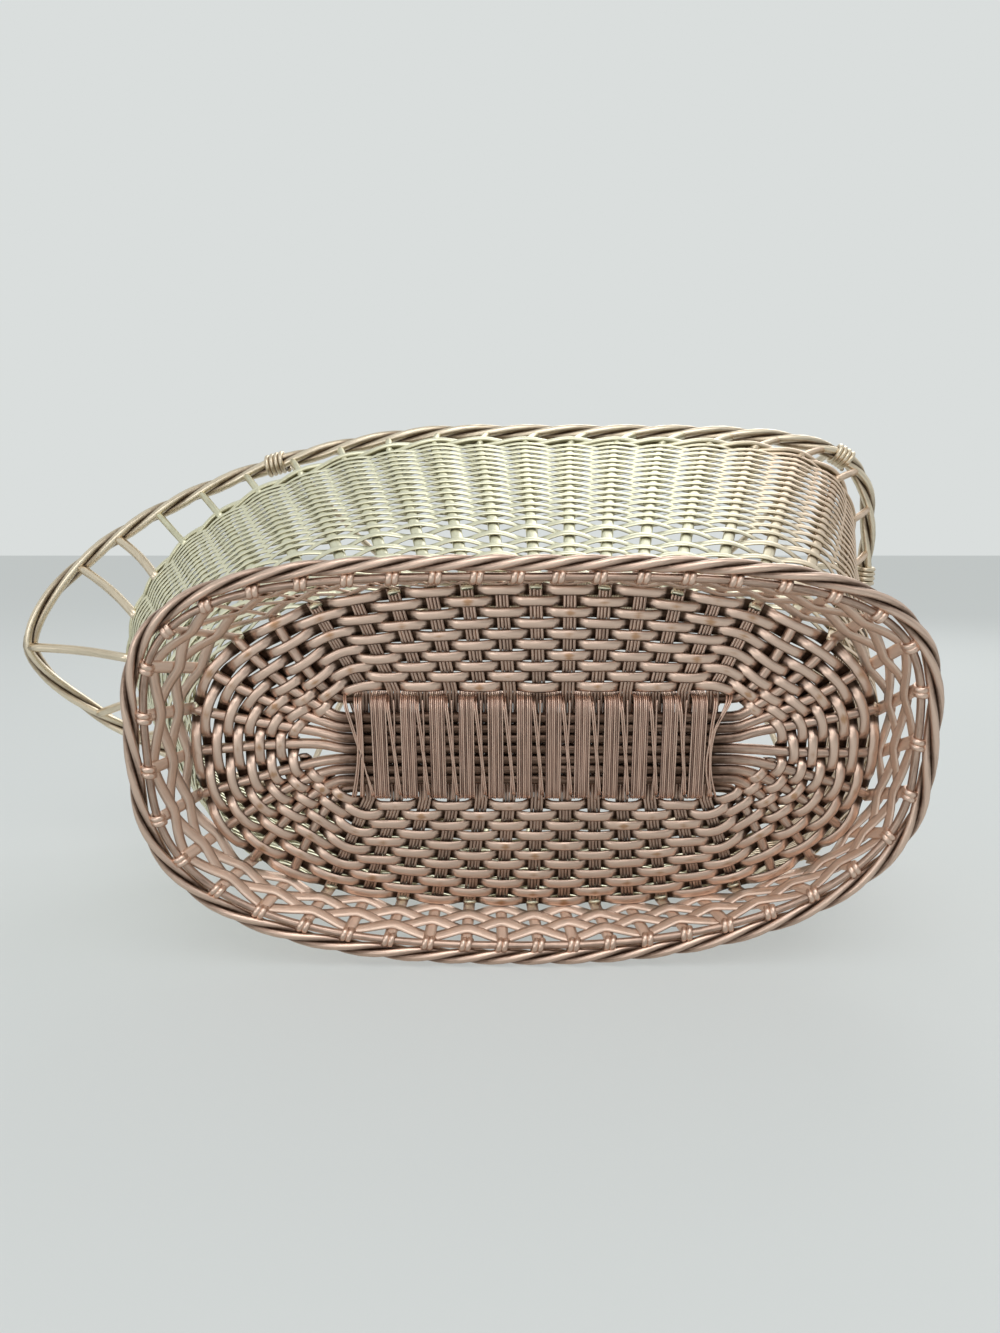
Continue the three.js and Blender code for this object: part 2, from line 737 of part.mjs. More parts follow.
function makeHandle() {
  const frontEnd = gripMiddle + gripLength / 2;
  const rearEnd = gripMiddle - gripLength / 2;
  const endInGrip = frontEnd - handleWirePitch;
  for (const side of [1, -1]) {
    const sideName = side > 0 ? 'left' : 'right';
    const outerY = side * 1.5 * handleWirePitch;
    const innerY = side * 0.5 * handleWirePitch;
    const front = legPoints(side * frontSeatStake, new THREE.Vector3(frontEnd, outerY, gripHeight), 1);
    const rear = legPoints(side * outerRearSeatStake, new THREE.Vector3(rearEnd, outerY, gripHeight), -1);
    const inner = legPoints(side * innerRearSeatStake, new THREE.Vector3(rearEnd, innerY, gripHeight), -1);
    const innerTip = new THREE.Vector3(endInGrip, innerY, gripHeight);
    const outerWire = wire([...front, ...rear.reverse()], handleWireRadius, sideways);
    addPiece(`handle_outer_wire_${sideName}`, outerWire, paleSilver);
    const innerWire = wire([...inner, innerTip], handleWireRadius, sideways);
    addPiece(`handle_inner_wire_${sideName}`, innerWire, paleSilver);
    makeRimSeat(`rim_seat_front_${sideName}`, side * frontSeatStake);
    makeRimSeat(`rim_seat_rear_outer_${sideName}`, side * outerRearSeatStake);
    makeRimSeat(`rim_seat_rear_inner_${sideName}`, side * innerRearSeatStake);
  }
  makeHandleWrap(rearEnd, frontEnd);
}

// The grip is a winding round the four wires, made as a flat sleeve with rounded edges.
function makeHandleWrap(rearEnd, frontEnd) {
  const halfHeight = handleWireRadius * wireCorner + seatGap;
  const halfWidth = 1.5 * handleWirePitch + halfHeight;
  const outline = (grow) => {
    const shoulder = halfWidth - halfHeight / 2;
    const right = [
      [shoulder, -halfHeight - grow],
      [halfWidth + grow, -halfHeight / 2],
      [halfWidth + grow, halfHeight / 2],
      [shoulder, halfHeight + grow],
    ];
    const left = right.map(([y, z]) => [-y, z]).reverse();
    return [...right, ...left];
  };
  const outer = outline(handleWrapThickness);
  const inner = outline(0);
  const placed = ([y, z], x) => new THREE.Vector3(x, y, gripHeight + z);
  const sections = outer.map((_, corner) => [
    placed(outer[corner], rearEnd),
    placed(outer[corner], frontEnd),
    placed(inner[corner], frontEnd),
    placed(inner[corner], rearEnd),
  ]);
  addPiece('handle_wrap', loft(sections, true), darkSilver);
}

makeFoot();
makeSkirtLattice();
makeBaseWeave();
makeSlath();
makeWallWeave();
makeBorderAndRibs();
makeRimRope();
makeHandle();

const group = new THREE.Group();
group.name = 'wine_basket';
group.add(...finishedMeshes);
group.position.x = -new THREE.Box3().setFromObject(group).getCenter(new THREE.Vector3()).x;

export default group;
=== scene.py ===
"""Wine basket woven from silver plated wire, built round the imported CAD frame.

Every wire is a surface: an outline carried along a path that numpy works out. Lengths are plan
millimetres from the middle of the foot, until place() turns them into metres of the row.
Stakes are numbered from the front over the left side, and a place between two has a fraction.
"""
import math

import bpy
import numpy as np
from mathutils import Matrix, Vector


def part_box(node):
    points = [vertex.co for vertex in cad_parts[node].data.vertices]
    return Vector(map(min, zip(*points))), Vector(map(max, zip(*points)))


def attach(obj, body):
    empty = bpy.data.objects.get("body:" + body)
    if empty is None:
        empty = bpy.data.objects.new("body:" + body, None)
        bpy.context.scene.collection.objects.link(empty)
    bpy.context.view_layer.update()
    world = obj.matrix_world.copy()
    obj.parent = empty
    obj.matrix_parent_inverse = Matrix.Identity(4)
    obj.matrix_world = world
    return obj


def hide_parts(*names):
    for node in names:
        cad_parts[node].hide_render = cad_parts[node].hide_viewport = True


bl_info = {
    "name": "Woven Wine Basket",
    "version": (1, 0, 0),
    "blender": (4, 5, 0),
    "location": "View3D > Sidebar > Wine Basket",
    "description": "Makes a silver plated woven wire wine basket round its CAD frame",
    "category": "Object",
}

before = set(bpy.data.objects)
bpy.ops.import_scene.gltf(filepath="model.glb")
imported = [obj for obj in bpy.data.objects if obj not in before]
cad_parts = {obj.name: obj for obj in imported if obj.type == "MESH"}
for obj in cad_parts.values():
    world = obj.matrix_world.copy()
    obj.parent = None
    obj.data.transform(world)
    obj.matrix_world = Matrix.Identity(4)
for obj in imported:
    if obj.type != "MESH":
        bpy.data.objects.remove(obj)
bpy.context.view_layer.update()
foot_low, foot_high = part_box("foot_rope")
FOOT_MIDDLE = (foot_low.x + foot_high.x) / 2

UP = np.array([0.0, 0.0, 1.0])
DOWN = (0.0, 0.0, -1.0)
ALONG = (1.0, 0.0, 0.0)
SIDEWAYS = (0.0, 1.0, 0.0)

# Stakes run from the base through the skirt and the wall, and crowd on the long sides.
STAKES = 44
HALF_ROUND = STAKES // 2
QUARTER = STAKES // 4
BASE_CROWDING = 0.18
FOOT_CROWDING = 0.21
WALL_CROWDING = 0.05
# Slath: nine rods along the middle of the base, and thirteen spokes across it.
RODS = np.arange(-4, 5)
EDGE_ROD = 4
SPOKES = np.arange(-6, 7)
ROD_PITCH = 2.8
SPOKE_PITCH = 7.3
SLATH_X = -2.0
SLATH_Y = 2.5
SLATH_HALF_LENGTH = 49.6
SLATH_HALF_WIDTH = 14.85
EDGE_ROD_OFFSET = 12.3
EDGE_ROD_HEIGHT = 15.15
ROD_HEIGHT = 11.45
SPOKE_HEIGHT = 13.2
# Woven panel of the base.
PANEL_FRONT = 88.0
PANEL_BACK = 90.3
PANEL_HALF = 45.4
PANEL_POWER = 2.7
PANEL_HEIGHT = 13.0
PANEL_EDGE_RISE = 2.5
# Ropes: places from stake to stake, and corners of a strand.
ROPE_STEPS = 12
ROPE_SIDES = 10
# How the rods fan out beyond the slath.
FAN_POWER = 1.5
FAN_PARTING = 1.2
FAN_FADE = 9.0
# Distance of the first row from the slath, by the number of stakes from the slath's end.
FIRST_ROW_OFF_SLATH = ((0, 1, 2, 3, 4, 5, 6, 11), (10.5, 10.0, 7.5, 4.2, 1.4, 0.4, 0.1, 0.0))
# Core wire inside the foot rope.
FOOT_HALF = 54.4
CORE_INSET = 5.3
CORE_HEIGHT = 2.4
# Wall, from the base's edge to its border.
WALL_FOOT = 17.0
WALL_TOP = 98.2
WALL_BULGE = 1.5
WALL_MIDDLE_INSET = 1.1
# The open band: how much its rows' pitch grows, its middle row and its spread in rows.
WALL_OPENNESS = 0.9
WALL_OPEN_ROW = 10.5
WALL_OPEN_SPREAD = 1.8
BORDER_HEIGHT = 100.0
# Rim, dipped and spread at the lip. The lip's ribs are the stakes up to two from the front.
RIM_HALF = 75.3
RIM_HEIGHT = 120.0
RIM_ROPE_INSET = 2.75
LIP_DIP = 8.0
LIP_DIP_POWER = 10
LIP_SPREAD = 0.0255
LIP_STAKES = 2
# Handle: its grip along X, and the stakes where its wires are tied to the rim.
GRIP_HEIGHT = 190.0
GRIP_BACK = -60.0
GRIP_FRONT = 30.0
HANDLE_WIRE_PITCH = 3.1
FRONT_SEAT = 5.65
OUTER_REAR_SEAT = 17.5
INNER_REAR_SEAT = 20.5


def unit(vectors):
    """Each vector divided by its length."""
    return vectors / np.maximum(np.linalg.norm(vectors, axis=-1, keepdims=True), 1e-9)


class Oval:
    """A horizontal oval in plan. At the angle a its point is (reach cos a, half sin a) times
    (|cos a|^p + |sin a|^p)^(-1/p), with its own reach and power p in each quarter. The dip lowers
    its front by the tenth power of the reach. It is measured by the fraction u of its length from
    the front, over the left side."""

    def __init__(self, front, back, half, powers, middle=0.0, height=0.0, dip=0.0):
        turn = np.linspace(0.0, 2 * np.pi, 5761)
        along, across = np.cos(turn), np.sin(turn)
        front_left, back_left, back_right, front_right = powers
        power = np.where(across >= 0, np.where(along >= 0, front_left, back_left),
                         np.where(along >= 0, front_right, back_right))
        swell = (np.abs(along) ** power + np.abs(across) ** power) ** (-1 / power)
        reach = np.where(along >= 0, front, back)
        drop = np.where(along > 0, dip * np.abs(along * swell) ** LIP_DIP_POWER, 0.0)
        self.places = np.stack([middle + reach * along * swell, half * across * swell,
                                height - drop], axis=-1)
        steps = np.linalg.norm(np.diff(self.places, axis=0), axis=-1)
        self.length = steps.sum()
        self.fractions = np.concatenate([[0.0], np.cumsum(steps)]) / self.length
        runs = unit(np.gradient(self.places, axis=0))
        runs[0] = runs[-1] = unit(self.places[1] - self.places[-2])
        self.runs = runs

    def read(self, table, u):
        """The table's rows at the fractions u, by straight interpolation."""
        u = np.mod(u, 1.0)
        return np.stack([np.interp(u, self.fractions, column) for column in table.T], axis=-1)

    def outward(self, u):
        """Level direction out of the oval, square to its run."""
        run = unit(self.read(self.runs, u))
        return unit(np.stack([run[..., 1], -run[..., 0], np.zeros_like(run[..., 0])], axis=-1))

    def at(self, u, inset=0.0, lift=0.0):
        """Places on the oval, moved in by the inset and up by the lift."""
        u = np.asarray(u, dtype=float)
        inset = np.asarray(inset, dtype=float)[..., None]
        lift = np.asarray(lift, dtype=float)[..., None]
        return self.read(self.places, u) - self.outward(u) * inset + UP * lift


foot_oval = Oval(99.5, 99.5, FOOT_HALF, (3.7, 3.7, 2.25, 2.6))
base_oval = Oval(PANEL_FRONT, PANEL_BACK, PANEL_HALF, (PANEL_POWER,) * 4)
wall_oval = Oval(113.2, 128, 71.5, (1.83, 6.5, 6.5, 1.83), middle=20.0)
rim_oval = Oval(155.4, 142.8, RIM_HALF, (1.69, 6.4, 6.4, 1.69), 20.0, RIM_HEIGHT, LIP_DIP)


def stake_fraction(stake, crowding):
    """Stakes crowd on the long sides: turn + crowding sin(4 pi turn) / (4 pi)."""
    turn = np.asarray(stake, dtype=float) / STAKES
    return turn + crowding * np.sin(4 * np.pi * turn) / (4 * np.pi)


def rim_fraction(stake):
    """Stake ends spread at the lip: turn + sign(turn) spread (1 - (2 turn)^2)."""
    turn = np.asarray(stake, dtype=float) / STAKES
    turn = turn - np.round(turn)
    return turn + np.sign(turn) * LIP_SPREAD * (1 - (2 * turn) ** 2)


def rope_fraction(stake):
    """The same spread, eased to nothing at the lip's middle so that it never jumps."""
    turn = np.asarray(stake, dtype=float) / STAKES
    turn = turn - np.round(turn)
    return turn + LIP_SPREAD * np.tanh(turn * STAKES) * (1 - (2 * turn) ** 2)


def foot_fraction(stake):
    """Stakes at the foot."""
    return stake_fraction(stake, FOOT_CROWDING)


def panel_height(places):
    """Middle of the base weave: level in the middle, rising with the fourth power outwards."""
    x, y = places[..., 0], places[..., 1]
    reach = np.where(x >= 0, PANEL_FRONT, PANEL_BACK)
    spread = np.abs(x / reach) ** PANEL_POWER + np.abs(y / PANEL_HALF) ** PANEL_POWER
    spread = spread ** (1 / PANEL_POWER)
    return PANEL_HEIGHT + PANEL_EDGE_RISE * np.minimum(spread, 1.1) ** 4


def stake_lines():
    """Start and tip in plan of all stakes in the base: 18 rods that leave the slath at its ends
    and 26 arms of the side spokes that leave it at its sides."""
    starts = np.zeros((STAKES, 3))
    across = np.where(np.abs(RODS) == EDGE_ROD, np.sign(RODS) * EDGE_ROD_OFFSET, RODS * ROD_PITCH)
    for end, stakes in ((1, RODS % STAKES), (-1, HALF_ROUND - RODS)):
        starts[stakes, 0] = SLATH_X + end * SLATH_HALF_LENGTH
        starts[stakes, 1] = SLATH_Y + across
    for side, stakes in ((1, QUARTER - SPOKES), (-1, 3 * QUARTER + SPOKES)):
        starts[stakes, 0] = SLATH_X + SPOKES * SPOKE_PITCH
        starts[stakes, 1] = SLATH_Y + side * SLATH_HALF_WIDTH
    tips = base_oval.at(stake_fraction(np.arange(STAKES), BASE_CROWDING), 0.9)
    return starts, tips


STAKE_STARTS, STAKE_TIPS = stake_lines()
FROM_END = np.abs(np.mod(np.arange(STAKES) + QUARTER, HALF_ROUND) - QUARTER)
END_STAKES = FROM_END <= EDGE_ROD


def arm_place(stake, share):
    """Place in plan on a stake's arm at a share of its way out. The arms of the side spokes are
    straight. Those at the slath's ends start side by side and fan out, y with share ^ 1.5. They
    part beside the middle rod by 1.2 mm sin(pi share ^ 0.7), fading by e in 9 mm."""
    stake, share = np.broadcast_arrays(np.mod(stake, STAKES), np.asarray(share, dtype=float))
    start, tip = STAKE_STARTS[stake], STAKE_TIPS[stake]
    at_end = END_STAKES[stake]
    place_in_plan = start + (tip - start) * share[..., None]
    fanned = start[..., 1] + (tip - start)[..., 1] * share ** FAN_POWER
    beside = start[..., 1] - SLATH_Y + 0.5 * np.sign(start[..., 0])
    parting = np.sign(beside) * FAN_PARTING * np.exp(-np.abs(beside) / FAN_FADE)
    parting = parting * np.sin(np.pi * share ** 0.7)
    place_in_plan[..., 1] = np.where(at_end, fanned + parting, place_in_plan[..., 1])
    return place_in_plan


def tip_to_tip(first, last, arm_steps, middle_steps):
    """Path in plan from one stake's tip, over the slath, to the tip of another stake."""
    share = np.linspace(0, 1, arm_steps)
    middle = np.linspace(STAKE_STARTS[first], STAKE_STARTS[last], middle_steps)[1:-1]
    return np.concatenate([arm_place(first, share)[::-1], middle, arm_place(last, share)])


def round_trip(values, stake):
    """Smooth periodic curve through one value for each stake, a Catmull-Rom cubic."""
    index = np.floor(stake).astype(int)
    part = (stake - index)[:, None]
    a, b, c, d = (values[..., (index + step) % STAKES, :] for step in (-1, 0, 1, 2))
    cubic = -a + 3 * b - 3 * c + d
    square = 2 * a - 5 * b + 4 * c - d
    return 0.5 * (2 * b + (c - a) * part + square * part ** 2 + cubic * part ** 3)


def swing(stake, parity, hold, power):
    """Weaving wave, 1 where a row passes outside a stake and -1 where it passes inside: the cosine
    and the hold, scaled back to one, to a power. With a hold the row stays outside longer. With a
    low power it dives more steeply."""
    wave = np.cos(np.pi * (stake + parity)) + hold
    return np.sign(wave) * (np.abs(wave) / (1 + np.sign(wave) * hold)) ** power


def around(steps):
    """Numbers of places all round an oval, the given steps from each stake to the next."""
    return np.arange(STAKES * steps) / steps


def smooth(low, high, values):
    """Smooth step, 0 below low and 1 above high: 3 t^2 - 2 t^3."""
    t = np.clip((values - low) / (high - low), 0, 1)
    return t * t * (3 - 2 * t)


def corner_angles(sides):
    """Angles of an outline's corners."""
    return 2 * np.pi * (np.arange(sides) + 0.5) / sides


def oval_outline(width, thick, sides, square):
    """Cross section of a flat wire: |2x / width|^n + |2y / thick|^n = 1, with squareness n."""
    angle = corner_angles(sides)
    x, y = np.cos(angle), np.sin(angle)
    swell = (np.abs(x) ** square + np.abs(y) ** square) ** (-1 / square)
    return np.stack([x * swell * width / 2, y * swell * thick / 2], axis=-1)


def round_outline(diameter, sides):
    """Cross section of a round wire, the same with n = 2."""
    return oval_outline(diameter, diameter, sides, 2.0)


def sweep(paths, rises, outline, closed=False, widen=None, wear_and_shade=0.6):
    """Carries an outline along many paths at once. Each ring of the skin is path + across x +
    rise y, with rise the given direction made square to the path, across square to both, and x
    times the widening at its station. Returns its points, quads, cap loops, the wire's length and
    turn at each corner, and the wear and painted shade of each point."""
    paths = np.asarray(paths, dtype=float)
    if paths.ndim == 2:
        paths = paths[None]
    wires, stations = paths.shape[:2]
    if closed:
        run = np.roll(paths, -1, 1) - np.roll(paths, 1, 1)
    else:
        run = np.gradient(paths, axis=1)
    run = unit(run)
    rises = np.broadcast_to(rises, paths.shape)
    rise = unit(rises - run * np.sum(rises * run, axis=-1, keepdims=True))
    across = np.cross(run, rise)
    sides = len(outline)
    flat = np.broadcast_to(outline, (wires, stations, sides, 2))
    if widen is not None:
        flat = flat * np.stack([widen, np.ones_like(widen)], -1)[:, None]
    x, y = flat[..., :1], flat[..., 1:]
    points = paths[:, :, None] + across[:, :, None] * x + rise[:, :, None] * y
    ring = np.arange(wires * stations * sides).reshape(wires, stations, sides)
    here = ring if closed else ring[:, :-1]
    there = np.roll(ring, -1, 1) if closed else ring[:, 1:]
    beside, beyond = np.roll(here, -1, 2), np.roll(there, -1, 2)
    quads = np.stack([here, there, beyond, beside], axis=-1).reshape(-1, 4)
    step = np.linalg.norm(np.diff(paths, axis=1), axis=-1)
    length = np.concatenate([np.zeros((wires, 1)), np.cumsum(step, axis=1)], axis=1)
    if closed:
        last = np.linalg.norm(paths[:, 0] - paths[:, -1], axis=-1)[:, None]
        length = np.concatenate([length, length[:, -1:] + last], axis=1)
    # Each wire starts further on in the pattern, so that no two wear the same marks.
    length = length[:, :, None] + 7.31 * np.arange(wires)[:, None, None]
    near, far, low = (np.broadcast_to(values, here.shape) for values in
                      (length[:, :-1], length[:, 1:], np.arange(sides) / sides))
    high = low + 1 / sides
    wire = np.stack([near, low, far, low, far, high, near, high], axis=-1).reshape(-1, 2)
    caps = np.zeros((0, sides), dtype=int)
    if not closed:
        caps = np.concatenate([ring[:, 0], ring[:, -1, ::-1]])
    # Wear and painted shade of each point, for the finish.
    wear_and_shade = np.asarray(wear_and_shade, dtype=float)
    if wear_and_shade.ndim == 2:
        wear_and_shade = wear_and_shade[:, :, None]
    worn = np.broadcast_to(wear_and_shade, (wires, stations, sides)).reshape(-1)
    return points.reshape(-1, 3), quads, caps, wire, worn


def face_wear_and_shade(wave, sides, extra=0.0, edge=0.0):
    """Wear and painted shade round a woven wire's outline. Its outer face is worn where the wave
    is above -0.3, its inner face where it is below 0.3, and its edges have the given share of
    that.
    The low values, where a face dives behind a stake and along the edges, are tarnish and painted
    shade. Between edge and face it follows the 0.8 power of the sine of the angle round the
    outline."""
    angle = corner_angles(sides)
    outer = (smooth(-0.7, 0.1, wave) + extra)[:, None]
    inner = smooth(-0.7, 0.1, -wave)[:, None]
    across = edge + (1 - edge) * np.abs(np.sin(angle)) ** 0.8
    return (across * np.where(np.sin(angle) > 0, outer, inner))[None]


def strand_wear_and_shade(sides):
    """Wear and painted shade round a rope's strand: 0.35 + 0.65 sin of the angle, most where it
    faces outwards and least where strands meet, which is tarnish and painted shade.
    """
    return np.clip(0.35 + 0.65 * np.sin(corner_angles(sides)), 0, 1)[None, None]


def circling(out, angle, across, up):
    """Offset from a rope's middle: across cos(angle) outwards and up sin(angle) upwards."""
    return out * (np.cos(angle) * across)[..., None] + UP * (np.sin(angle) * up)[..., None]


def collar(oval, middle, turns, length, radius, phase, steps, inset, lift=0.0):
    """Helix round the rope on an oval, at the angle phase + 2 pi turn, over the given length about
    the fraction in its middle. Returns its path and its offset from the rope's middle."""
    turn = np.linspace(0, turns, steps)
    u = middle + (turn / turns - 0.5) * length / oval.length
    offset = circling(oval.outward(u), 2 * np.pi * turn + phase, radius, radius)
    return oval.at(u, inset, lift) + offset, offset


def place(points):
    """Plan millimetres to metres of the row."""
    return points / 1000 + np.array([FOOT_MIDDLE, 0.0, 0.0])


def numbered(name, count):
    """Node names that end in the numbers from 1 to the count."""
    return [f"{name}_{number}" for number in range(1, count + 1)]


def make_piece(name, skins, nodes, part):
    """Puts the skins into one mesh at the origin, with the part's finish, riding on the root and
    standing for the nodes."""
    points, corners, starts, wires, wear_and_shade = [], [], [], [], []
    count = loops = 0
    for skin_points, quads, caps, wire, worn in skins:
        points.append(skin_points)
        wear_and_shade.append(worn)
        corners.append((quads + count).ravel())
        starts.append(loops + 4 * np.arange(len(quads)))
        loops += quads.size
        wires.append(wire)
        corners.append((caps + count).ravel())
        starts.append(loops + caps.shape[1] * np.arange(len(caps)))
        loops += caps.size
        wires.append(np.zeros((caps.size, 2)))
        count += len(skin_points)
    mesh = bpy.data.meshes.new(name)
    mesh.vertices.add(count)
    mesh.vertices.foreach_set("co", place(np.concatenate(points)).astype(np.float32).ravel())
    mesh.loops.add(loops)
    mesh.loops.foreach_set("vertex_index", np.concatenate(corners).astype(np.int32))
    starts = np.concatenate(starts).astype(np.int32)
    mesh.polygons.add(len(starts))
    mesh.polygons.foreach_set("loop_start", starts)
    mesh.polygons.foreach_set("use_smooth", np.ones(len(starts), dtype=bool))
    mesh.update(calc_edges=True)
    layer = mesh.uv_layers.new(name="Wire")
    layer.data.foreach_set("uv", np.concatenate(wires).astype(np.float32).ravel())
    # This attribute carries wear and painted shade to the finish.
    attribute = mesh.attributes.new("wear_and_shade", "FLOAT", "POINT")
    attribute.data.foreach_set("value", np.concatenate(wear_and_shade).astype(np.float32))
    mesh.materials.append(finish(part))
    piece = bpy.data.objects.new(name, mesh)
    bpy.context.collection.objects.link(piece)
    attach(piece, "root")
    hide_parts(*nodes)
    return piece


def colour(code, alpha=1.0):
    """sRGB hex to linear: c / 12.92 below 0.04045, else ((c + 0.055) / 1.055) ^ 2.4."""
    parts = [int(code[i:i + 2], 16) / 255 for i in (0, 2, 4)]
    linear = [c / 12.92 if c <= 0.04045 else ((c + 0.055) / 1.055) ** 2.4 for c in parts]
    return (*linear, alpha)


def add_node(tree, kind, settings=None, **inputs):
    """Adds a shader node, sets its properties and its sockets, and links the sockets given as
    outputs, or as nodes for their first output. A socket is named by i and its number, or by its
    name with underscores for spaces."""
    node = tree.nodes.new("ShaderNode" + kind)
    for key, value in (settings or {}).items():
        setattr(node, key, value)
    for key, value in inputs.items():
        by_number = key[0] == "i" and key[1:].isdigit()
        socket = node.inputs[int(key[1:]) if by_number else key.replace("_", " ")]
        if isinstance(value, bpy.types.Node):
            value = value.outputs[0]
        if isinstance(value, bpy.types.NodeSocket):
            tree.links.new(value, socket)
        else:
            socket.default_value = value
    return node


SMOOTH_STEP = {"interpolation_type": "SMOOTHSTEP"}
COLOUR_MIX = {"data_type": "RGBA", "blend_type": "MIX"}
# Polish: each shade is laid over the one before as the rubbing goes from the first limit to the
# second, up to the greatest share. Below the first limit the hollow colour is tarnish and painted
# shade. On the highest crowns the warm brass shows through the plate.
PLATE_OVER_SOOT_AND_SHADE = (0.2, 0.8, 1.0)
CROWN_WORN = (0.5, 1.25, 1.0)
BRASS_BARED = (1.3, 1.75, 0.8)
BARE_BRASS = "b98a63"


def plated_wire(name, soot_and_shade, tarnish, body, worn, roughness, grain=0.35, blush=None):
    """Silver plate on drawn brass wire. The plate is satin, nearly black where no cloth reaches
    and where shade is painted in hollows, dives and edges, and bright on the crowns where cloths
    have rubbed it. Fine lines from the drawing die run along each wire. A blush is a pink tint
    multiplied in towards the back end."""
    material = bpy.data.materials.get(name)
    if material:
        return material
    material = bpy.data.materials.new(name)
    material.use_nodes = True
    tree = material.node_tree
    tree.nodes.clear()
    spot = add_node(tree, "TexCoord").outputs["Object"]
    wire = add_node(tree, "UVMap", {"uv_map": "Wire"}).outputs["UV"]
    wear_and_shade = add_node(tree, "Attribute", {"attribute_name": "wear_and_shade"}).outputs["Fac"]
    # Clouds of tarnish about 14 mm across, and specks of about 1.2 mm.
    clouds, specks = (
        add_node(tree, "TexNoise", {"noise_dimensions": "3D"}, Vector=spot, Scale=scale,
                 Detail=detail, Roughness=0.6)
        for scale, detail in ((70.0, 3.0), (850.0, 2.0)))
    # Drawing lines: the wire's UV is millimetres along and one turn around, so they are 6 mm long
    # and fourteen go round a wire.
    stretched = add_node(tree, "Mapping", {"vector_type": "POINT"}, Vector=wire,
                         Scale=(0.16, 14.0, 1.0))
    lines = add_node(tree, "TexNoise", {"noise_dimensions": "2D"}, Scale=1.0, Detail=2.0,
                     Vector=stretched, Roughness=0.5)
    mottled, rubbing_and_shade, grooves = (
        add_node(tree, "Math", {"operation": "MULTIPLY_ADD"}, i0=pattern, i1=strength, i2=ground)
        for pattern, strength, ground in ((specks, 0.35, clouds), (lines, 0.5, wear_and_shade),
                                          (specks, 0.6, lines)))
    patina = add_node(tree, "MapRange", SMOOTH_STEP, Value=mottled, From_Min=0.5, From_Max=0.85)
    plate = add_node(tree, "Mix", COLOUR_MIX, i0=patina, i6=tarnish, i7=body)
    surface = soot_and_shade
    for (low, high, most), shade in ((PLATE_OVER_SOOT_AND_SHADE, plate.outputs[2]), (CROWN_WORN, worn),
                                     (BRASS_BARED, colour(BARE_BRASS))):
        share = add_node(tree, "MapRange", SMOOTH_STEP, Value=rubbing_and_shade, From_Min=low,
                         From_Max=high, To_Max=most)
        surface = add_node(tree, "Mix", COLOUR_MIX, i0=share, i6=surface, i7=shade).outputs[2]
    if blush:
        along = add_node(tree, "SeparateXYZ", Vector=spot).outputs["X"]
        towards_back = add_node(tree, "MapRange", SMOOTH_STEP, Value=along,
                                From_Min=-0.13, From_Max=-0.06, To_Min=1.0, To_Max=0.0)
        surface = add_node(tree, "Mix", {"data_type": "RGBA", "blend_type": "MULTIPLY"},
                           i0=towards_back, i6=surface, i7=blush).outputs[2]
    # What is rubbed is smoother than what isn't.
    dull = add_node(tree, "MapRange", Value=rubbing_and_shade, From_Min=0.2, From_Max=1.3,
                    To_Min=roughness + 0.1, To_Max=roughness - 0.06)
    # Grooves and pits up to 0.12 mm deep.
    relief = add_node(tree, "Bump", Strength=grain, Distance=0.00012, Height=grooves)
    metal = add_node(tree, "BsdfPrincipled", Metallic=1.0, Base_Color=surface, Roughness=dull,
                     Normal=relief)
    add_node(tree, "OutputMaterial", Surface=metal)
    return material


# Each finish has its name, its shades in the hollows (tarnish and painted shade), tarnished,
# plain and worn, its roughness, and what else sets it apart.
FINISHES = {
    # Base and foot: tarnished to a pinkish brown, where the brass warms the thin silver, and
    # darker and pinker than the wall as painted shade on the same plate.
    "base": ("Tarnished silver plate on drawn brass wire",
             ("46352a", "735c4f", "a68b7b", "e2c6b4"), 0.38, {}),
    # Flat ribbons of the skirt: the base's plate, rolled thin and left dull, with paler shades as
    # painted light.
    "skirt": ("Dull silver plate with painted light on rolled brass ribbon",
              ("48372d", "927969", "c1a594", "efd6c4"), 0.52, {}),
    # Wall: the same plate as the base, made pale with a yellow cast as painted light, and pink
    # towards the back.
    "wall": ("Silver plate with painted light on drawn brass wire",
             ("6e694f", "bdb798", "ded9b9", "f1eed4"), 0.4, {"blush": colour("f6dcdb")}),
    # Rim and handle: rubbed by hands, between the base and the wall in colour, and paler and
    # yellower than the base partly as painted light.
    "rim": ("Handled silver plate with painted light on drawn brass wire",
            ("5c4b3e", "9c8a74", "c9b8a0", "efe0c8"), 0.38, {}),
    # Fine binding wire: darker, as tarnish stays between its turns and as painted shade there,
    # and too thin for deep lines.
    "binding": ("Darkened silver plate on fine brass wire",
                ("3c2b22", "8c7063", "b9998b", "e4c5b3"), 0.4, {"grain": 0.2}),
}


def finish(part):
    """Material of a part of the basket."""
    name, shades, roughness, extras = FINISHES[part]
    return plated_wire(name, *[colour(shade) for shade in shades], roughness, **extras)


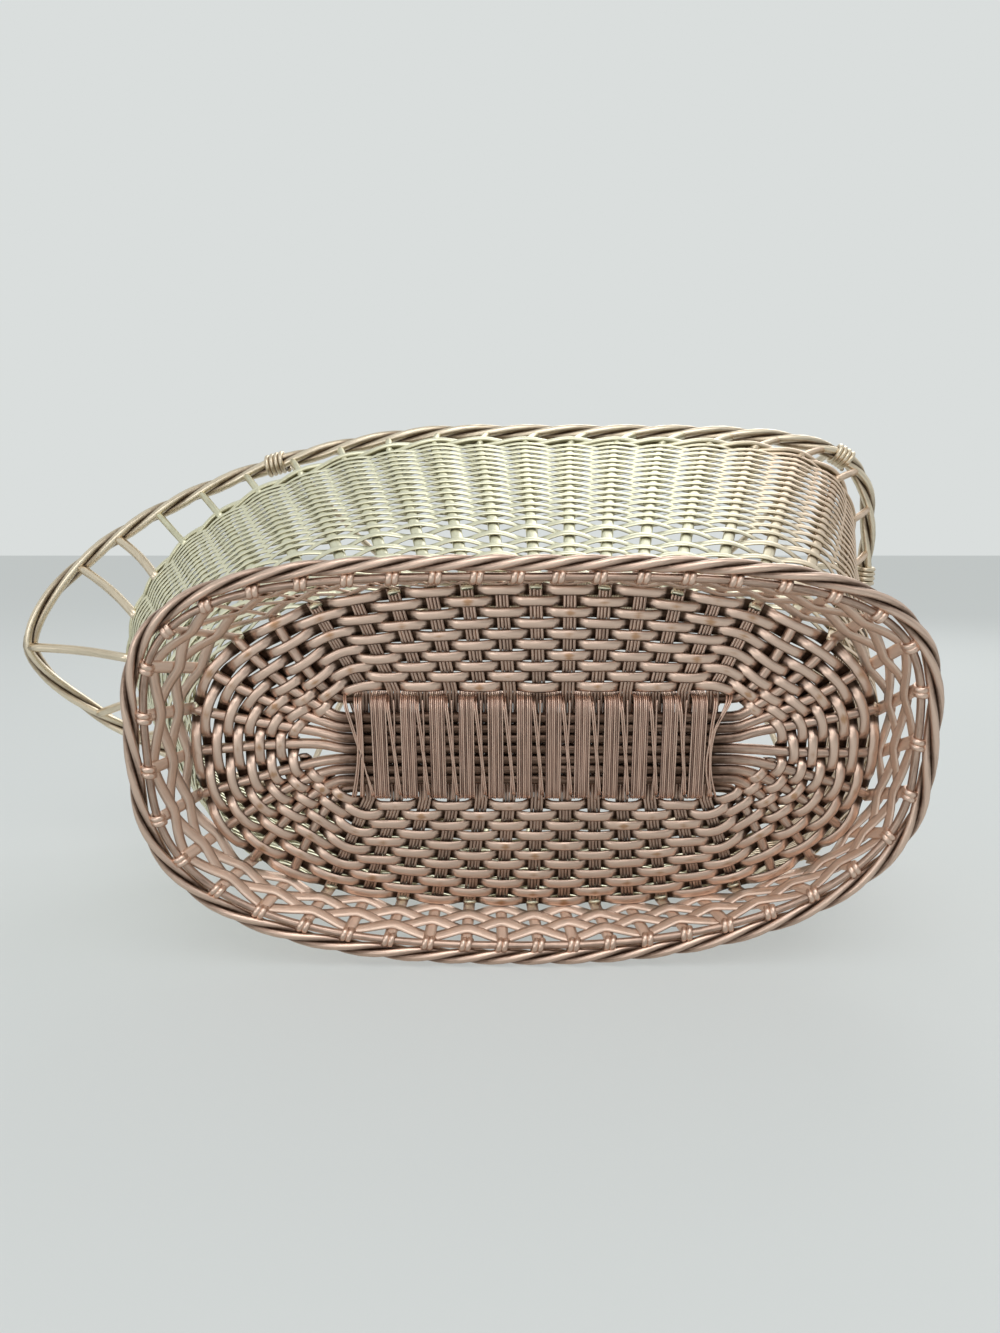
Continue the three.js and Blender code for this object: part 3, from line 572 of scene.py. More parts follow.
class BasketSizes(bpy.types.PropertyGroup):
    """Sizes of the wires, in metres."""

    base_weaver_width: bpy.props.FloatProperty(
        name="Base Weaver Width", description="Width of the flat weaver of the base",
        default=0.0028, unit="LENGTH")
    base_weaver_thickness: bpy.props.FloatProperty(
        name="Base Weaver Thickness", description="Thickness of the flat weaver of the base",
        default=0.00095, unit="LENGTH")
    spoke_wire_diameter: bpy.props.FloatProperty(
        name="Spoke Wire Diameter", description="Diameter of each of the four wires of a stake",
        default=0.00086, unit="LENGTH")
    rod_diameter: bpy.props.FloatProperty(
        name="Rod Diameter", description="Diameter of the long rods of the slath",
        default=0.0027, unit="LENGTH")
    binding_wire_diameter: bpy.props.FloatProperty(
        name="Binding Wire Diameter", description="Diameter of the fine wire that binds the slath",
        default=0.00048, unit="LENGTH")
    skirt_ribbon_width: bpy.props.FloatProperty(
        name="Skirt Ribbon Width", description="Width of the flat ribbons of the skirt",
        default=0.0029, unit="LENGTH")
    skirt_stake_width: bpy.props.FloatProperty(
        name="Skirt Stake Width", description="Width of the flat stakes of the skirt",
        default=0.0031, unit="LENGTH")
    wall_weaver_width: bpy.props.FloatProperty(
        name="Wall Weaver Width", description="Width of the weaver of the wall",
        default=0.0017, unit="LENGTH")
    wall_rows: bpy.props.IntProperty(
        name="Wall Rows", description="Number of woven rows in the wall",
        default=42, min=10, max=60)
    rib_diameter: bpy.props.FloatProperty(
        name="Rib Diameter", description="Diameter of the stake ends between border and rim",
        default=0.0023, unit="LENGTH")
    rim_strand_diameter: bpy.props.FloatProperty(
        name="Rim Strand Diameter", description="Diameter of each strand of the rim rope",
        default=0.00275, unit="LENGTH")
    foot_strand_diameter: bpy.props.FloatProperty(
        name="Foot Strand Diameter", description="Diameter of each strand of the foot rope",
        default=0.0021, unit="LENGTH")
    handle_wire_diameter: bpy.props.FloatProperty(
        name="Handle Wire Diameter", description="Diameter of the handle wires",
        default=0.0024, unit="LENGTH")


class StageSettings(bpy.types.PropertyGroup):
    """Light and backdrop."""

    key_power: bpy.props.FloatProperty(
        name="Key Light", description="Power of the large soft lamp on the left side",
        default=3.0, unit="POWER")
    fill_power: bpy.props.FloatProperty(
        name="Fill Light", description="Power of the lamp below the lip, which others follow",
        default=1.2, unit="POWER")
    backdrop: bpy.props.FloatVectorProperty(
        name="Backdrop", description="Colour of the backdrop and floor", subtype="COLOR",
        size=3, default=colour("dfe3e2")[:3], min=0.0, max=1.0)


def millimetres(name):
    """A size of the basket in millimetres."""
    return getattr(bpy.context.scene.basket_sizes, name) * 1000


def standing(right, rise, back, spot):
    """Placement matrix with the three axes as its columns."""
    return Matrix([(right[i], rise[i], back[i], spot[i]) for i in range(3)] + [(0, 0, 0, 1)])


class BASKET_OT_stage(bpy.types.Operator):
    """Camera at the photograph's angle, pale floor and backdrop, soft studio light"""

    bl_idname = "basket.make_stage"
    bl_label = "Stage"

    # The camera is 17.6 degrees off the basket's axis, its eye in metres from the foot's middle.
    pitch = math.radians(17.6)
    focal_length = 27.0
    sensor_width = 36.0
    eye = (0.0077, 0.09923, -0.2245)
    floor_half = 6.0
    # Room between the table and the rim's outline, in millimetres.
    rim_room = 0.8

    def execute(self, context):
        settings = context.scene.basket_stage
        context.scene.view_settings.view_transform = "Standard"
        lens = bpy.data.cameras.new("Camera")
        lens.lens = self.focal_length
        lens.sensor_width = self.sensor_width
        lens.clip_start = 0.01
        lens.clip_end = 30.0
        camera = bpy.data.objects.new("Camera", lens)
        context.collection.objects.link(camera)
        # The camera looks at the underside. Its right is -X and its up leans from +Y to +Z.
        right = (-1.0, 0.0, 0.0)
        rise = (0.0, math.cos(self.pitch), math.sin(self.pitch))
        back = (0.0, math.sin(self.pitch), -math.cos(self.pitch))
        x, y, z = self.eye
        camera.matrix_world = standing(right, rise, back, (FOOT_MIDDLE + x, y, z))
        context.scene.camera = camera
        self.make_floors(context, settings)
        self.make_lamps(context, settings)
        self.make_world(context, settings)
        return {"FINISHED"}

    def make_floors(self, context, settings):
        """Two square floors. The basket lies on its side on the table, which passes by the foot
        and the rim. The level floor under the foot shows only from above. Each shows one face."""
        paper = bpy.data.materials.new("Pale matt floor")
        paper.use_nodes = True
        tree = paper.node_tree
        tree.nodes.clear()
        shade = (*settings.backdrop, 1.0)
        paint = add_node(tree, "BsdfDiffuse", Color=shade)
        # Half of what the camera sees is a plain tone, so that the floor stays pale far off.
        tone = add_node(tree, "Emission", Color=shade, Strength=1.0)
        seen = add_node(tree, "LightPath").outputs["Is Camera Ray"]
        half_seen = add_node(tree, "Math", {"operation": "MULTIPLY"}, i0=seen, i1=0.5)
        toned = add_node(tree, "MixShader", i0=half_seen, i1=paint, i2=tone)
        clear = add_node(tree, "BsdfTransparent")
        facing = add_node(tree, "NewGeometry").outputs["Backfacing"]
        mix = add_node(tree, "MixShader", i0=facing, i1=toned, i2=clear)
        add_node(tree, "OutputMaterial", Surface=mix)
        half = self.floor_half
        foot = place(np.array([0.0, -FOOT_HALF, 0.0]))
        rim = place(np.array([0.0, -RIM_HALF - self.rim_room, RIM_HEIGHT]))
        lean = unit(rim - foot)
        corners = ((-half, -half), (half, -half), (half, half), (-half, half))
        table = [foot + lean * up + np.array([side, 0, 0]) for up, side in corners]
        level = [(x, y, 0.0) for x, y in corners]
        for name, places in (("table", table), ("level_floor", level)):
            mesh = bpy.data.meshes.new(name)
            mesh.from_pydata([tuple(spot) for spot in places], [], [(0, 1, 2, 3)])
            mesh.materials.append(paper)
            floor = bpy.data.objects.new(name, mesh)
            context.collection.objects.link(floor)
            floor.visible_shadow = False
            floor.visible_diffuse = False
            if name == "level_floor":
                floor.visible_glossy = False

    def make_lamps(self, context, settings):
        """Round soft lamps: name, place in metres, size and power. All face the basket."""
        middle = np.array([0.0, 0.0, 0.06])
        lamps = (
            ("key", (-0.1, 0.88, -0.4), 0.8, settings.key_power),
            ("front", (0.05, 0.4, -0.85), 0.5, settings.fill_power * 0.55),
            ("fill", (0.55, 0.15, -0.7), 0.5, settings.fill_power),
            ("top", (-0.3, 0.5, 0.85), 0.7, settings.key_power * 0.8),
            ("side", (0.3, -0.85, 0.35), 0.7, settings.fill_power * 1.9),
        )
        for name, spot, size, power in lamps:
            lamp = bpy.data.lights.new(name, "AREA")
            lamp.shape = "DISK"
            lamp.size = size
            lamp.energy = power
            holder = bpy.data.objects.new(name, lamp)
            context.collection.objects.link(holder)
            back = unit(np.array(spot) - middle)
            side = unit(np.cross((0.3, 0.4, 0.9), back))
            holder.matrix_world = standing(side, np.cross(back, side), back, spot)

    def make_world(self, context, settings):
        """The studio is pale, and darker straight below the basket's own foot, as a floor in shade
        is. It lights the basket more weakly than it shows."""
        world = bpy.data.worlds.new("Studio")
        world.use_nodes = True
        tree = world.node_tree
        tree.nodes.clear()
        seen = add_node(tree, "LightPath").outputs
        direct = seen["Is Camera Ray"]
        for ray in ("Is Glossy Ray", "Is Transmission Ray"):
            direct = add_node(tree, "Math", {"operation": "MAXIMUM"}, i0=direct, i1=seen[ray])
        way = add_node(tree, "TexCoord").outputs["Generated"]
        height = add_node(tree, "SeparateXYZ", Vector=way).outputs["Z"]
        shade = add_node(tree, "MapRange", SMOOTH_STEP, Value=height, From_Min=-0.9,
                         From_Max=-0.1, To_Min=0.5, To_Max=0.95)
        strength = add_node(tree, "Mix", {"data_type": "FLOAT"}, i0=direct, i2=0.6, i3=shade)
        light = add_node(tree, "Background", Color=(*settings.backdrop, 1.0), Strength=strength)
        add_node(tree, "OutputWorld", Surface=light)
        context.scene.world = world


class BASKET_OT_base_weave(bpy.types.Operator):
    """Oval rows of flat wire, woven over and under the stakes of the base"""

    bl_idname = "basket.make_base_weave"
    bl_label = "Base Weave"

    rows = 11
    steps = 10
    sides = 10
    squareness = 2.6
    swing_at_ends = 1.5
    swing_at_sides = 1.05
    swing_spread = 0.05
    place_spread = 0.0035
    # About a third of the crossings are rubbed brighter: the added wear, and its reach in stakes.
    bright_part = 0.35
    bright_wear = (0.25, 0.65)
    bright_reach = 0.15

    def execute(self, context):
        """A row's place on a stake is a share of the arm, with a smooth curve between stakes. The
        rows start at the slath's sides, and up to 10.5 mm off its ends, by a table of the stakes.
        The first goes round the right side only. A row's height is the panel's, less the weaving
        wave times the swing."""
        width = millimetres("base_weaver_width")
        thick = millimetres("base_weaver_thickness")
        outline = oval_outline(width, thick, self.sides, self.squareness)
        rng = np.random.default_rng(11)
        stakes = np.arange(STAKES)
        row = np.arange(self.rows)[:, None]
        # One where the row is missing, on the left side, and nothing on the right.
        missing = 0.5 + 0.5 * np.tanh(3.0 * np.sin(2 * np.pi * stakes / STAKES))
        length = np.linalg.norm(STAKE_TIPS - STAKE_STARTS, axis=-1)
        first = np.interp(FROM_END, *FIRST_ROW_OFF_SLATH) / length
        share = first + (1 - first) * (row + 0.5 - missing) / (self.rows - missing)
        share = np.clip(share + rng.normal(0, self.place_spread, share.shape), 0, 1)
        centres = arm_place(stakes, share)
        reach = np.where(END_STAKES, self.swing_at_ends, self.swing_at_sides)
        reach = reach + rng.normal(0, self.swing_spread, share.shape)
        knots = np.concatenate([centres, reach[..., None]], axis=-1)
        bright = rng.random(share.shape) < self.bright_part
        bright = np.where(bright, rng.uniform(*self.bright_wear, share.shape), 0.0)
        skins = []
        for number in range(self.rows):
            stake = around(self.steps)
            if number == 0:
                stake = np.arange(HALF_ROUND + 0.5, STAKES - 0.5 + 1e-6, 1 / self.steps)
            curve = round_trip(knots[number], stake)
            wave = swing(stake, number % 2, 0.3, 0.5)
            path = curve[:, :3].copy()
            path[:, 2] = panel_height(path) - wave * curve[:, 3]
            # The weaver is a little narrower where it bends out and wider where it bends in.
            pull = 1.0 - 0.08 * np.maximum(wave, 0) + 0.2 * np.maximum(-wave, 0)
            nearest = np.round(stake).astype(int)
            crossing = np.exp(-((stake - nearest) / self.bright_reach) ** 2) * (wave > 0)
            # Painted shade where the row dives behind a stake and along its edges, besides its
            # wear.
            wear_and_shade = face_wear_and_shade(wave, self.sides, bright[number, nearest % STAKES] * crossing)
            skins.append(sweep(path, DOWN, outline, number > 0, pull, wear_and_shade))
        make_piece("base_weave_rows", skins, ["base_weave"], "base")
        return {"FINISHED"}


class BASKET_OT_side_spokes(bpy.types.Operator):
    """Stakes across the base, each a flat bundle of four thin wires"""

    bl_idname = "basket.make_side_spokes"
    bl_label = "Side Spokes"

    wires = 4
    closeness = 0.98
    # They leave the slath's height over 4 mm, the last of it beyond the slath's side.
    step_length = 4.0
    step_beyond = 1.0

    def execute(self, context):
        """Each wire runs from tip to tip: straight across the slath, then along the stake's line
        at the panel's height. The four lie side by side and wander by a slow sine."""
        diameter = millimetres("spoke_wire_diameter")
        paths = []
        for index in SPOKES:
            centre = tip_to_tip(3 * QUARTER + index, QUARTER - index, 22, 16)
            y = centre[:, 1]
            inside = SLATH_HALF_WIDTH + self.step_beyond - np.abs(y - SLATH_Y)
            near = np.clip(inside / self.step_length, 0, 1)
            centre[:, 2] = panel_height(centre) + (SPOKE_HEIGHT - PANEL_HEIGHT) * near
            for wire in range(self.wires):
                path = centre.copy()
                offset = (wire - (self.wires - 1) / 2) * diameter * self.closeness
                path[:, 0] += offset * (1 + 0.06 * np.sin(y / 9 + index + wire))
                path[:, 2] += 0.1 * np.sin(y / 7 + 2.1 * wire + index) + 0.12 * (wire % 2)
                paths.append(path)
        skin = sweep(paths, DOWN, round_outline(diameter, 8))
        names = numbered("side_spoke", len(SPOKES))
        make_piece("side_spoke_bundles", [skin], names, "base")
        return {"FINISHED"}


class BASKET_OT_slath_rods(bpy.types.Operator):
    """Seven rods along the slath and two along its edges, fanned out as stakes at both ends"""

    bl_idname = "basket.make_slath_rods"
    bl_label = "Slath Rods"

    def execute(self, context):
        """Straight in the slath, then along the stake's line, changing height by a smooth step
        beyond the slath's end. Each bend is eased by the mean of neighbouring places."""
        paths = []
        for index in RODS:
            centre = tip_to_tip(HALF_ROUND - index, index % STAKES, 26, 22)
            ease = smooth(-2, 7, np.abs(centre[:, 0] - SLATH_X) - SLATH_HALF_LENGTH)
            inside = EDGE_ROD_HEIGHT if abs(index) == EDGE_ROD else ROD_HEIGHT
            centre[:, 2] = inside * (1 - ease) + panel_height(centre) * ease
            centre[1:-1] = (centre[:-2] + centre[1:-1] * 2 + centre[2:]) / 4
            centre[1:-1, 1] += 0.12 * np.sin(centre[1:-1, 0] / 11 + index * 2)
            paths.append(centre)
        paths = np.array(paths)
        # The bindings keep the cloth off the rods, and the rods are darker under them as tarnish
        # and painted shade.
        bare = np.clip((np.abs(paths[..., 0] - SLATH_X) - SLATH_HALF_LENGTH + 3) / 6, 0, 1)
        outline = round_outline(millimetres("rod_diameter"), 12)
        skin = sweep(paths, DOWN, outline, wear_and_shade=0.16 + 0.54 * bare)
        names = numbered("slath_rod", 2 * EDGE_ROD - 1)
        names += ["slath_edge_rod_left", "slath_edge_rod_right"]
        make_piece("slath_rods_round", [skin], names, "base")
        return {"FINISHED"}


def rounded_loop(corners, radius, steps=5):
    """Closed polygon with each corner replaced by a quadratic arc that starts and ends the radius
    away from it, or less on short sides."""
    corners = np.asarray(corners, dtype=float)
    back, onward = np.roll(corners, 1, 0) - corners, np.roll(corners, -1, 0) - corners
    room = np.minimum(np.linalg.norm(back, axis=-1), np.linalg.norm(onward, axis=-1))
    cut = np.minimum(radius, room * 0.48)[:, None]
    start, end = ((corners + unit(way) * cut)[:, None] for way in (back, onward))
    t = np.linspace(0, 1, steps)[None, :, None]
    arc = (1 - t) ** 2 * start + 2 * t * (1 - t) * corners[:, None] + t ** 2 * end
    return arc.reshape(-1, 2)


def even_loop(loop, fraction):
    """Points of a closed loop at the given fractions of its length."""
    ring = np.concatenate([loop, loop[:1]])
    steps = np.linalg.norm(np.diff(ring, axis=0), axis=-1)
    reached = np.concatenate([[0], np.cumsum(steps)]) / steps.sum()
    fraction = np.mod(fraction, 1.0)
    return np.stack([np.interp(fraction, reached, ring[:, k]) for k in range(2)], axis=-1)


class BASKET_OT_slath_bindings(bpy.types.Operator):
    """Twelve flat windings of fine wire round the rods, with two wires crossing to the next and
    one pressed on the rods between them"""

    bl_idname = "basket.make_slath_bindings"
    bl_label = "Slath Bindings"

    bindings = 12
    turns = 8
    steps_in_turn = 40
    corners = ((-13.2, 10.05), (13.2, 10.05), (14.2, 12.6), (14.2, 16.1), (13.3, 16.7),
               (-13.3, 16.7), (-14.2, 16.1), (-14.2, 12.6))
    corner_radius = 1.6
    looseness = 1.04
    # The wires that cross to the next binding: half their width, and their height under the rods.
    half_span = 13.6
    crossing_height = 9.95

    def execute(self, context):
        diameter = millimetres("binding_wire_diameter")
        outline = round_outline(diameter, 6)
        pitch = diameter * self.looseness
        skins = []
        for count in range(self.bindings):
            start = (count - (self.bindings - 1) / 2) * SPOKE_PITCH - pitch * self.turns / 2
            path, wear_and_shade = self.winding(start, pitch, count * 1.7)
            skins.append(sweep(path, ALONG, outline, wear_and_shade=wear_and_shade))
        thread = np.linspace(0, 1, 26)
        y = SLATH_Y + self.half_span - 2 * self.half_span * thread
        for count in range(self.bindings - 1):
            left = (count - (self.bindings - 1) / 2) * SPOKE_PITCH + SLATH_X
            for pair in range(2):
                top = left + SPOKE_PITCH - 1.95 - pair * 0.5
                bottom = left + 2.1 + (1 - pair) * 0.45
                x = top + (bottom - top) * thread ** 0.9
                # They turn up steeply round the slath's edges.
                z = self.crossing_height + 3.2 * np.abs(2 * thread - 1) ** 14 - 0.05 * pair
                skins.append(sweep(np.stack([x, y, z], -1), ALONG, outline, wear_and_shade=0.85))
            z = np.full(26, ROD_HEIGHT - (millimetres("rod_diameter") + diameter) / 2)
            x = left + SPOKE_PITCH / 2 - 0.25 + 0.12 * np.sin(7 * thread + count)
            skins.append(sweep(np.stack([x, y, z], -1), ALONG, outline, wear_and_shade=0.7))
        names = numbered("slath_binding", self.bindings)
        make_piece("slath_binding_turns", skins, names, "binding")
        return {"FINISHED"}

    def winding(self, start, pitch, seed):
        """Helix of fine wire along X: the loop gives (y, z) and x grows by the pitch with each
        turn. A turn sways by 0.05 mm and stands out or in by 0.06 mm, as sines of the turn. Also
        returns the wear, which follows how far a turn stands out."""
        turn = np.linspace(0, self.turns, self.turns * self.steps_in_turn + 1)
        yz = even_loop(rounded_loop(self.corners, self.corner_radius), turn)
        sway = 0.05 * np.sin(2 * np.pi * turn * 1.03 + seed) * np.sin(turn * 0.9 + seed)
        stand = np.sin(2 * np.pi * 0.61 * turn + seed)
        away = unit(np.stack([yz[:, 0], 3.0 * (yz[:, 1] - SPOKE_HEIGHT)], axis=-1))
        yz = yz + away * (0.06 * stand)[:, None]
        x = start + pitch * turn + sway + SLATH_X
        return np.stack([x, yz[:, 0] + SLATH_Y, yz[:, 1]], axis=-1), (0.75 + 0.35 * stand)[None]


class BASKET_OT_slath_end_windings(bpy.types.Operator):
    """Loose crossing windings at both ends of the slath"""

    bl_idname = "basket.make_slath_end_windings"
    bl_label = "Slath End Windings"

    # Each loop's distance from the slath's middle on the left, in the middle and on the right.
    loops = {
        1: ((49.0, 45.3, 41.5), (48.5, 45.0, 42.2), (46.2, 45.6, 47.9), (45.7, 45.2, 47.2),
            (45.0, 44.7, 45.6), (44.5, 44.3, 45.1)),
        -1: ((48.7, 43.2, 45.4), (48.1, 42.8, 44.9), (44.6, 43.4, 44.6), (44.1, 43.0, 44.1),
             (47.3, 43.7, 46.2)),
    }
    corners = ((-12.0, 9.95), (12.0, 9.95), (13.9, 12.0), (14.1, 16.2), (10.5, 16.8),
               (-10.5, 16.8), (-14.1, 16.2), (-13.9, 12.0))
    corner_radius = 1.6
    steps = 60

    def execute(self, context):
        """Loops whose x follows y by the parabola through their three distances, so that they
        cross."""
        outline = round_outline(millimetres("binding_wire_diameter"), 6)
        loop = rounded_loop(self.corners, self.corner_radius)
        y, height = even_loop(loop, np.arange(self.steps) / self.steps).T
        side = y / 14.0
        skins = []
        for end, loops in self.loops.items():
            for number, (left, middle, right) in enumerate(loops):
                bend = (left + right) / 2 - middle
                x = SLATH_X + end * (middle + (left - right) / 2 * side + bend * side ** 2)
                z = height + 0.14 * (number % 3) * np.sign(height - SPOKE_HEIGHT)
                path = np.stack([x, y + SLATH_Y, z], -1)
                skins.append(sweep(path, ALONG, outline, closed=True, wear_and_shade=0.85))
        names = ["slath_end_winding_front", "slath_end_winding_back"]
        make_piece("slath_end_turns", skins, names, "binding")
        return {"FINISHED"}


def skirt_point(stake, level, inset=0.0):
    """Slanting surface between the base's edge and the foot's core wire, straight in level, and
    the direction that faces out of it."""
    fraction = foot_fraction(stake)
    top = base_oval.at(stake_fraction(stake, BASE_CROWDING), 0.4, 15.0)
    low = foot_oval.at(fraction, CORE_INSET, 4.0)
    point = top + (low - top) * np.asarray(level)[..., None]
    outward = foot_oval.outward(fraction)
    slope = unit(low - top)
    face = unit(np.cross(np.cross(outward, slope), slope))
    face = face * np.sign(np.sum(face * outward, axis=-1, keepdims=True))
    return point - face * np.asarray(inset)[..., None], face


class BASKET_OT_skirt(bpy.types.Operator):
    """Open lattice between base and foot: four wavy ribbons woven on flat stakes"""

    bl_idname = "basket.make_skirt"
    bl_label = "Skirt"

    levels = (0.08, 0.28, 0.485, 0.69, 0.89)
    steps = 10
    sides = 8
    thickness = 0.55
    squareness = 3.5
    sharpness = 0.95
    reach = 0.62

    def execute(self, context):
        """A ribbon's level runs nearly straight between two neighbouring crossings, by the arcsine
        of 0.95 cos(pi stake). It passes inside a stake at its high point and outside at its low
        one."""
        stake = around(self.steps)
        outlines = [oval_outline(millimetres(f"skirt_{kind}_width"), self.thickness, self.sides,
                                 self.squareness) for kind in ("ribbon", "stake")]
        skins = []
        for ribbon, (high, low) in enumerate(zip(self.levels, self.levels[1:])):
            wave = np.arcsin(self.sharpness * np.cos(np.pi * (stake + ribbon)))
            wave = wave / np.arcsin(self.sharpness)
            level = (high + low) / 2 - (low - high) / 2 * wave
            path, face = skirt_point(stake, level, self.reach * wave)
            # Painted shade along the ribbons' edges, besides their wear.
            wear_and_shade = face_wear_and_shade(np.zeros(len(stake)), self.sides, 0.15, edge=0.3)
            skins.append(sweep(path, face, outlines[0], closed=True, wear_and_shade=wear_and_shade))
        stakes, level = np.meshgrid(np.arange(STAKES), np.linspace(-0.12, 1.04, 12), indexing="ij")
        path, face = skirt_point(stakes, level)
        skins.append(sweep(path, face, outlines[1], wear_and_shade=0.95))
        make_piece("skirt_ribbons_and_stakes", skins, ["skirt_lattice"], "skirt")
        return {"FINISHED"}


def rope(oval, fraction, strand, core, lay, phase, inset, height=0.0):
    """Three strands twisted round an oval, as one wire that goes round three times. A strand lies
    on a circle of the core's radius and turns once in about the lay, which is in stakes. Its turns
    in a round are a whole number and one or two thirds, so that it ends where another began."""
    stake = np.arange(STAKES * 3 * ROPE_STEPS) / ROPE_STEPS
    u = fraction(np.mod(stake, STAKES))
    thirds = round(STAKES / lay * 3)
    thirds += thirds % 3 == 0
    offset = circling(oval.outward(u), phase + 2 * np.pi * thirds / 3 * stake / STAKES, core, core)
    # Each strand is darker where it meets the others, as tarnish and painted shade.
    return sweep(oval.at(u, inset, height) + offset, offset, round_outline(strand, ROPE_SIDES),
                 closed=True, wear_and_shade=strand_wear_and_shade(ROPE_SIDES))


class BASKET_OT_foot(bpy.types.Operator):
    """Foot rope of three strands, and the core wire with a wound collar at every stake"""

    bl_idname = "basket.make_foot"
    bl_label = "Foot"

    # The strands' circle, stakes in a turn, first angle, and the rope's inset and height.
    twist = (1.02, 3.4, math.pi, 2.07, 2.07)
    # A collar's turns, length, radius, first angle and number of places along it.
    collar_shape = (2.0, 3.0, 1.4, 0.6, 33)
    core_diameter = 2.0
    core_steps = 6

    def execute(self, context):
        strand = millimetres("foot_strand_diameter")
        skin = rope(foot_oval, foot_fraction, strand, *self.twist)
        make_piece("foot_rope_strands", [skin], ["foot_rope"], "base")
        core = foot_oval.at(foot_fraction(around(self.core_steps)), CORE_INSET, CORE_HEIGHT)
        middles = foot_fraction(np.arange(STAKES))[:, None]
        path, offset = collar(foot_oval, middles, *self.collar_shape, CORE_INSET, CORE_HEIGHT)
        skins = [sweep(core, UP, round_outline(self.core_diameter, 10), closed=True),
                 sweep(path, offset, oval_outline(1.6, 1.1, 10, 2.2), wear_and_shade=0.95)]
        make_piece("foot_core_and_collars", skins, ["foot_core_wire"], "base")
        return {"FINISHED"}


def wall_surface(u, share):
    """Middle of the wall: straight from base oval to border oval in share, with a bulge of
    1.5 sin(pi share)."""
    part = share[..., None]
    low, high = base_oval.at(u), wall_oval.at(u)
    out = unit(base_oval.outward(u) * (1 - part) + wall_oval.outward(u) * part)
    bulge = WALL_BULGE * np.sin(np.pi * part) - WALL_MIDDLE_INSET
    middle = low + (high - low) * part + out * bulge
    middle[..., 2] = WALL_FOOT + (WALL_TOP - WALL_FOOT) * share
    return middle


def wall_point(stake, share):
    """Place on the wall, where the stakes crowd less the higher they are, and the direction that
    faces out of it."""
    u = stake_fraction(stake, BASE_CROWDING + (WALL_CROWDING - BASE_CROWDING) * share)
    slope = wall_surface(u, share + 0.01) - wall_surface(u, share - 0.01)
    run = wall_surface(u + 0.001, share) - wall_surface(u - 0.001, share)
    return wall_surface(u, share), unit(np.cross(run, slope))


class BASKET_OT_wall_weave(bpy.types.Operator):
    """Rows of the wall, woven over and under its stakes, wide apart at the foot and close above"""

    bl_idname = "basket.make_wall_weave"
    bl_label = "Wall Weave"

    steps = 7
    sides = 8
    thickness = 0.6
    squareness = 2.6
    reach = 0.95
    place_spread = 0.0016
    # In the open band the rows also swing out further and look wider.
    open_reach = 0.3
    open_widening = 0.35

    def execute(self, context):
        """The pitch of the rows is 1.8 mm, and up to 3.3 mm in the open band, by a bell curve of
        the row's number. A row stands off the wall by the weaving wave times the swing."""
        rows = context.scene.basket_sizes.wall_rows
        width = millimetres("wall_weaver_width")
        outline = oval_outline(width, self.thickness, self.sides, self.squareness)
        opened = np.exp(-((np.arange(rows) - WALL_OPEN_ROW) / WALL_OPEN_SPREAD) ** 2)
        pitch = 1.0 + WALL_OPENNESS * opened
        share = (np.cumsum(pitch) - pitch / 2) / pitch.sum()
        rng = np.random.default_rng(5)
        stake = around(self.steps)
        skins = []
        for row in range(rows):
            jitter = round_trip(rng.normal(0, self.place_spread, (STAKES, 1)), stake)[:, 0]
            wave = swing(stake, row % 2, 0.0, 1.0)
            point, face = wall_point(stake, share[row] + jitter)
            path = point + face * (wave * (self.reach + self.open_reach * opened[row]))[:, None]
            widen = 1.0 + self.open_widening * opened[row]
            widen = (1.0 + 0.15 * np.maximum(-wave, 0)) * widen
            # Painted shade where a row dives behind a stake and along its edges, besides its wear.
            wear_and_shade = face_wear_and_shade(np.clip(wave + 0.5, -1, 1), self.sides, edge=0.35)
            skins.append(sweep(path, face, outline, closed=True, widen=widen, wear_and_shade=wear_and_shade))
        for third, part in enumerate(("low", "middle", "high")):
            lot = skins[third * rows // 3:(third + 1) * rows // 3]
            make_piece(f"wall_rows_{part}", lot, ["wall_weave"], "wall")
        self.make_stakes()
        return {"FINISHED"}

    def make_stakes(self):
        """Flat stakes from the base's edge to the border, 0.2 mm outside the wall's middle."""
        stakes, share = np.meshgrid(np.arange(STAKES), np.linspace(-0.03, 1.0, 26), indexing="ij")
        point, face = wall_point(stakes, share)
        skin = sweep(point + face * 0.2, face, oval_outline(3.2, 1.2, 12, 2.2), wear_and_shade=0.85)
        make_piece("wall_stakes", [skin], ["wall_weave"], "wall")


def bent(start, end, bow, steps=12):
    """Straight line from start to end with a sideways bow of sin(pi t)."""
    t = np.linspace(0, 1, steps)[:, None]
    start, end, bow = start[..., None, :], end[..., None, :], bow[..., None, :]
    return start * (1 - t) + end * t + bow * np.sin(np.pi * t)


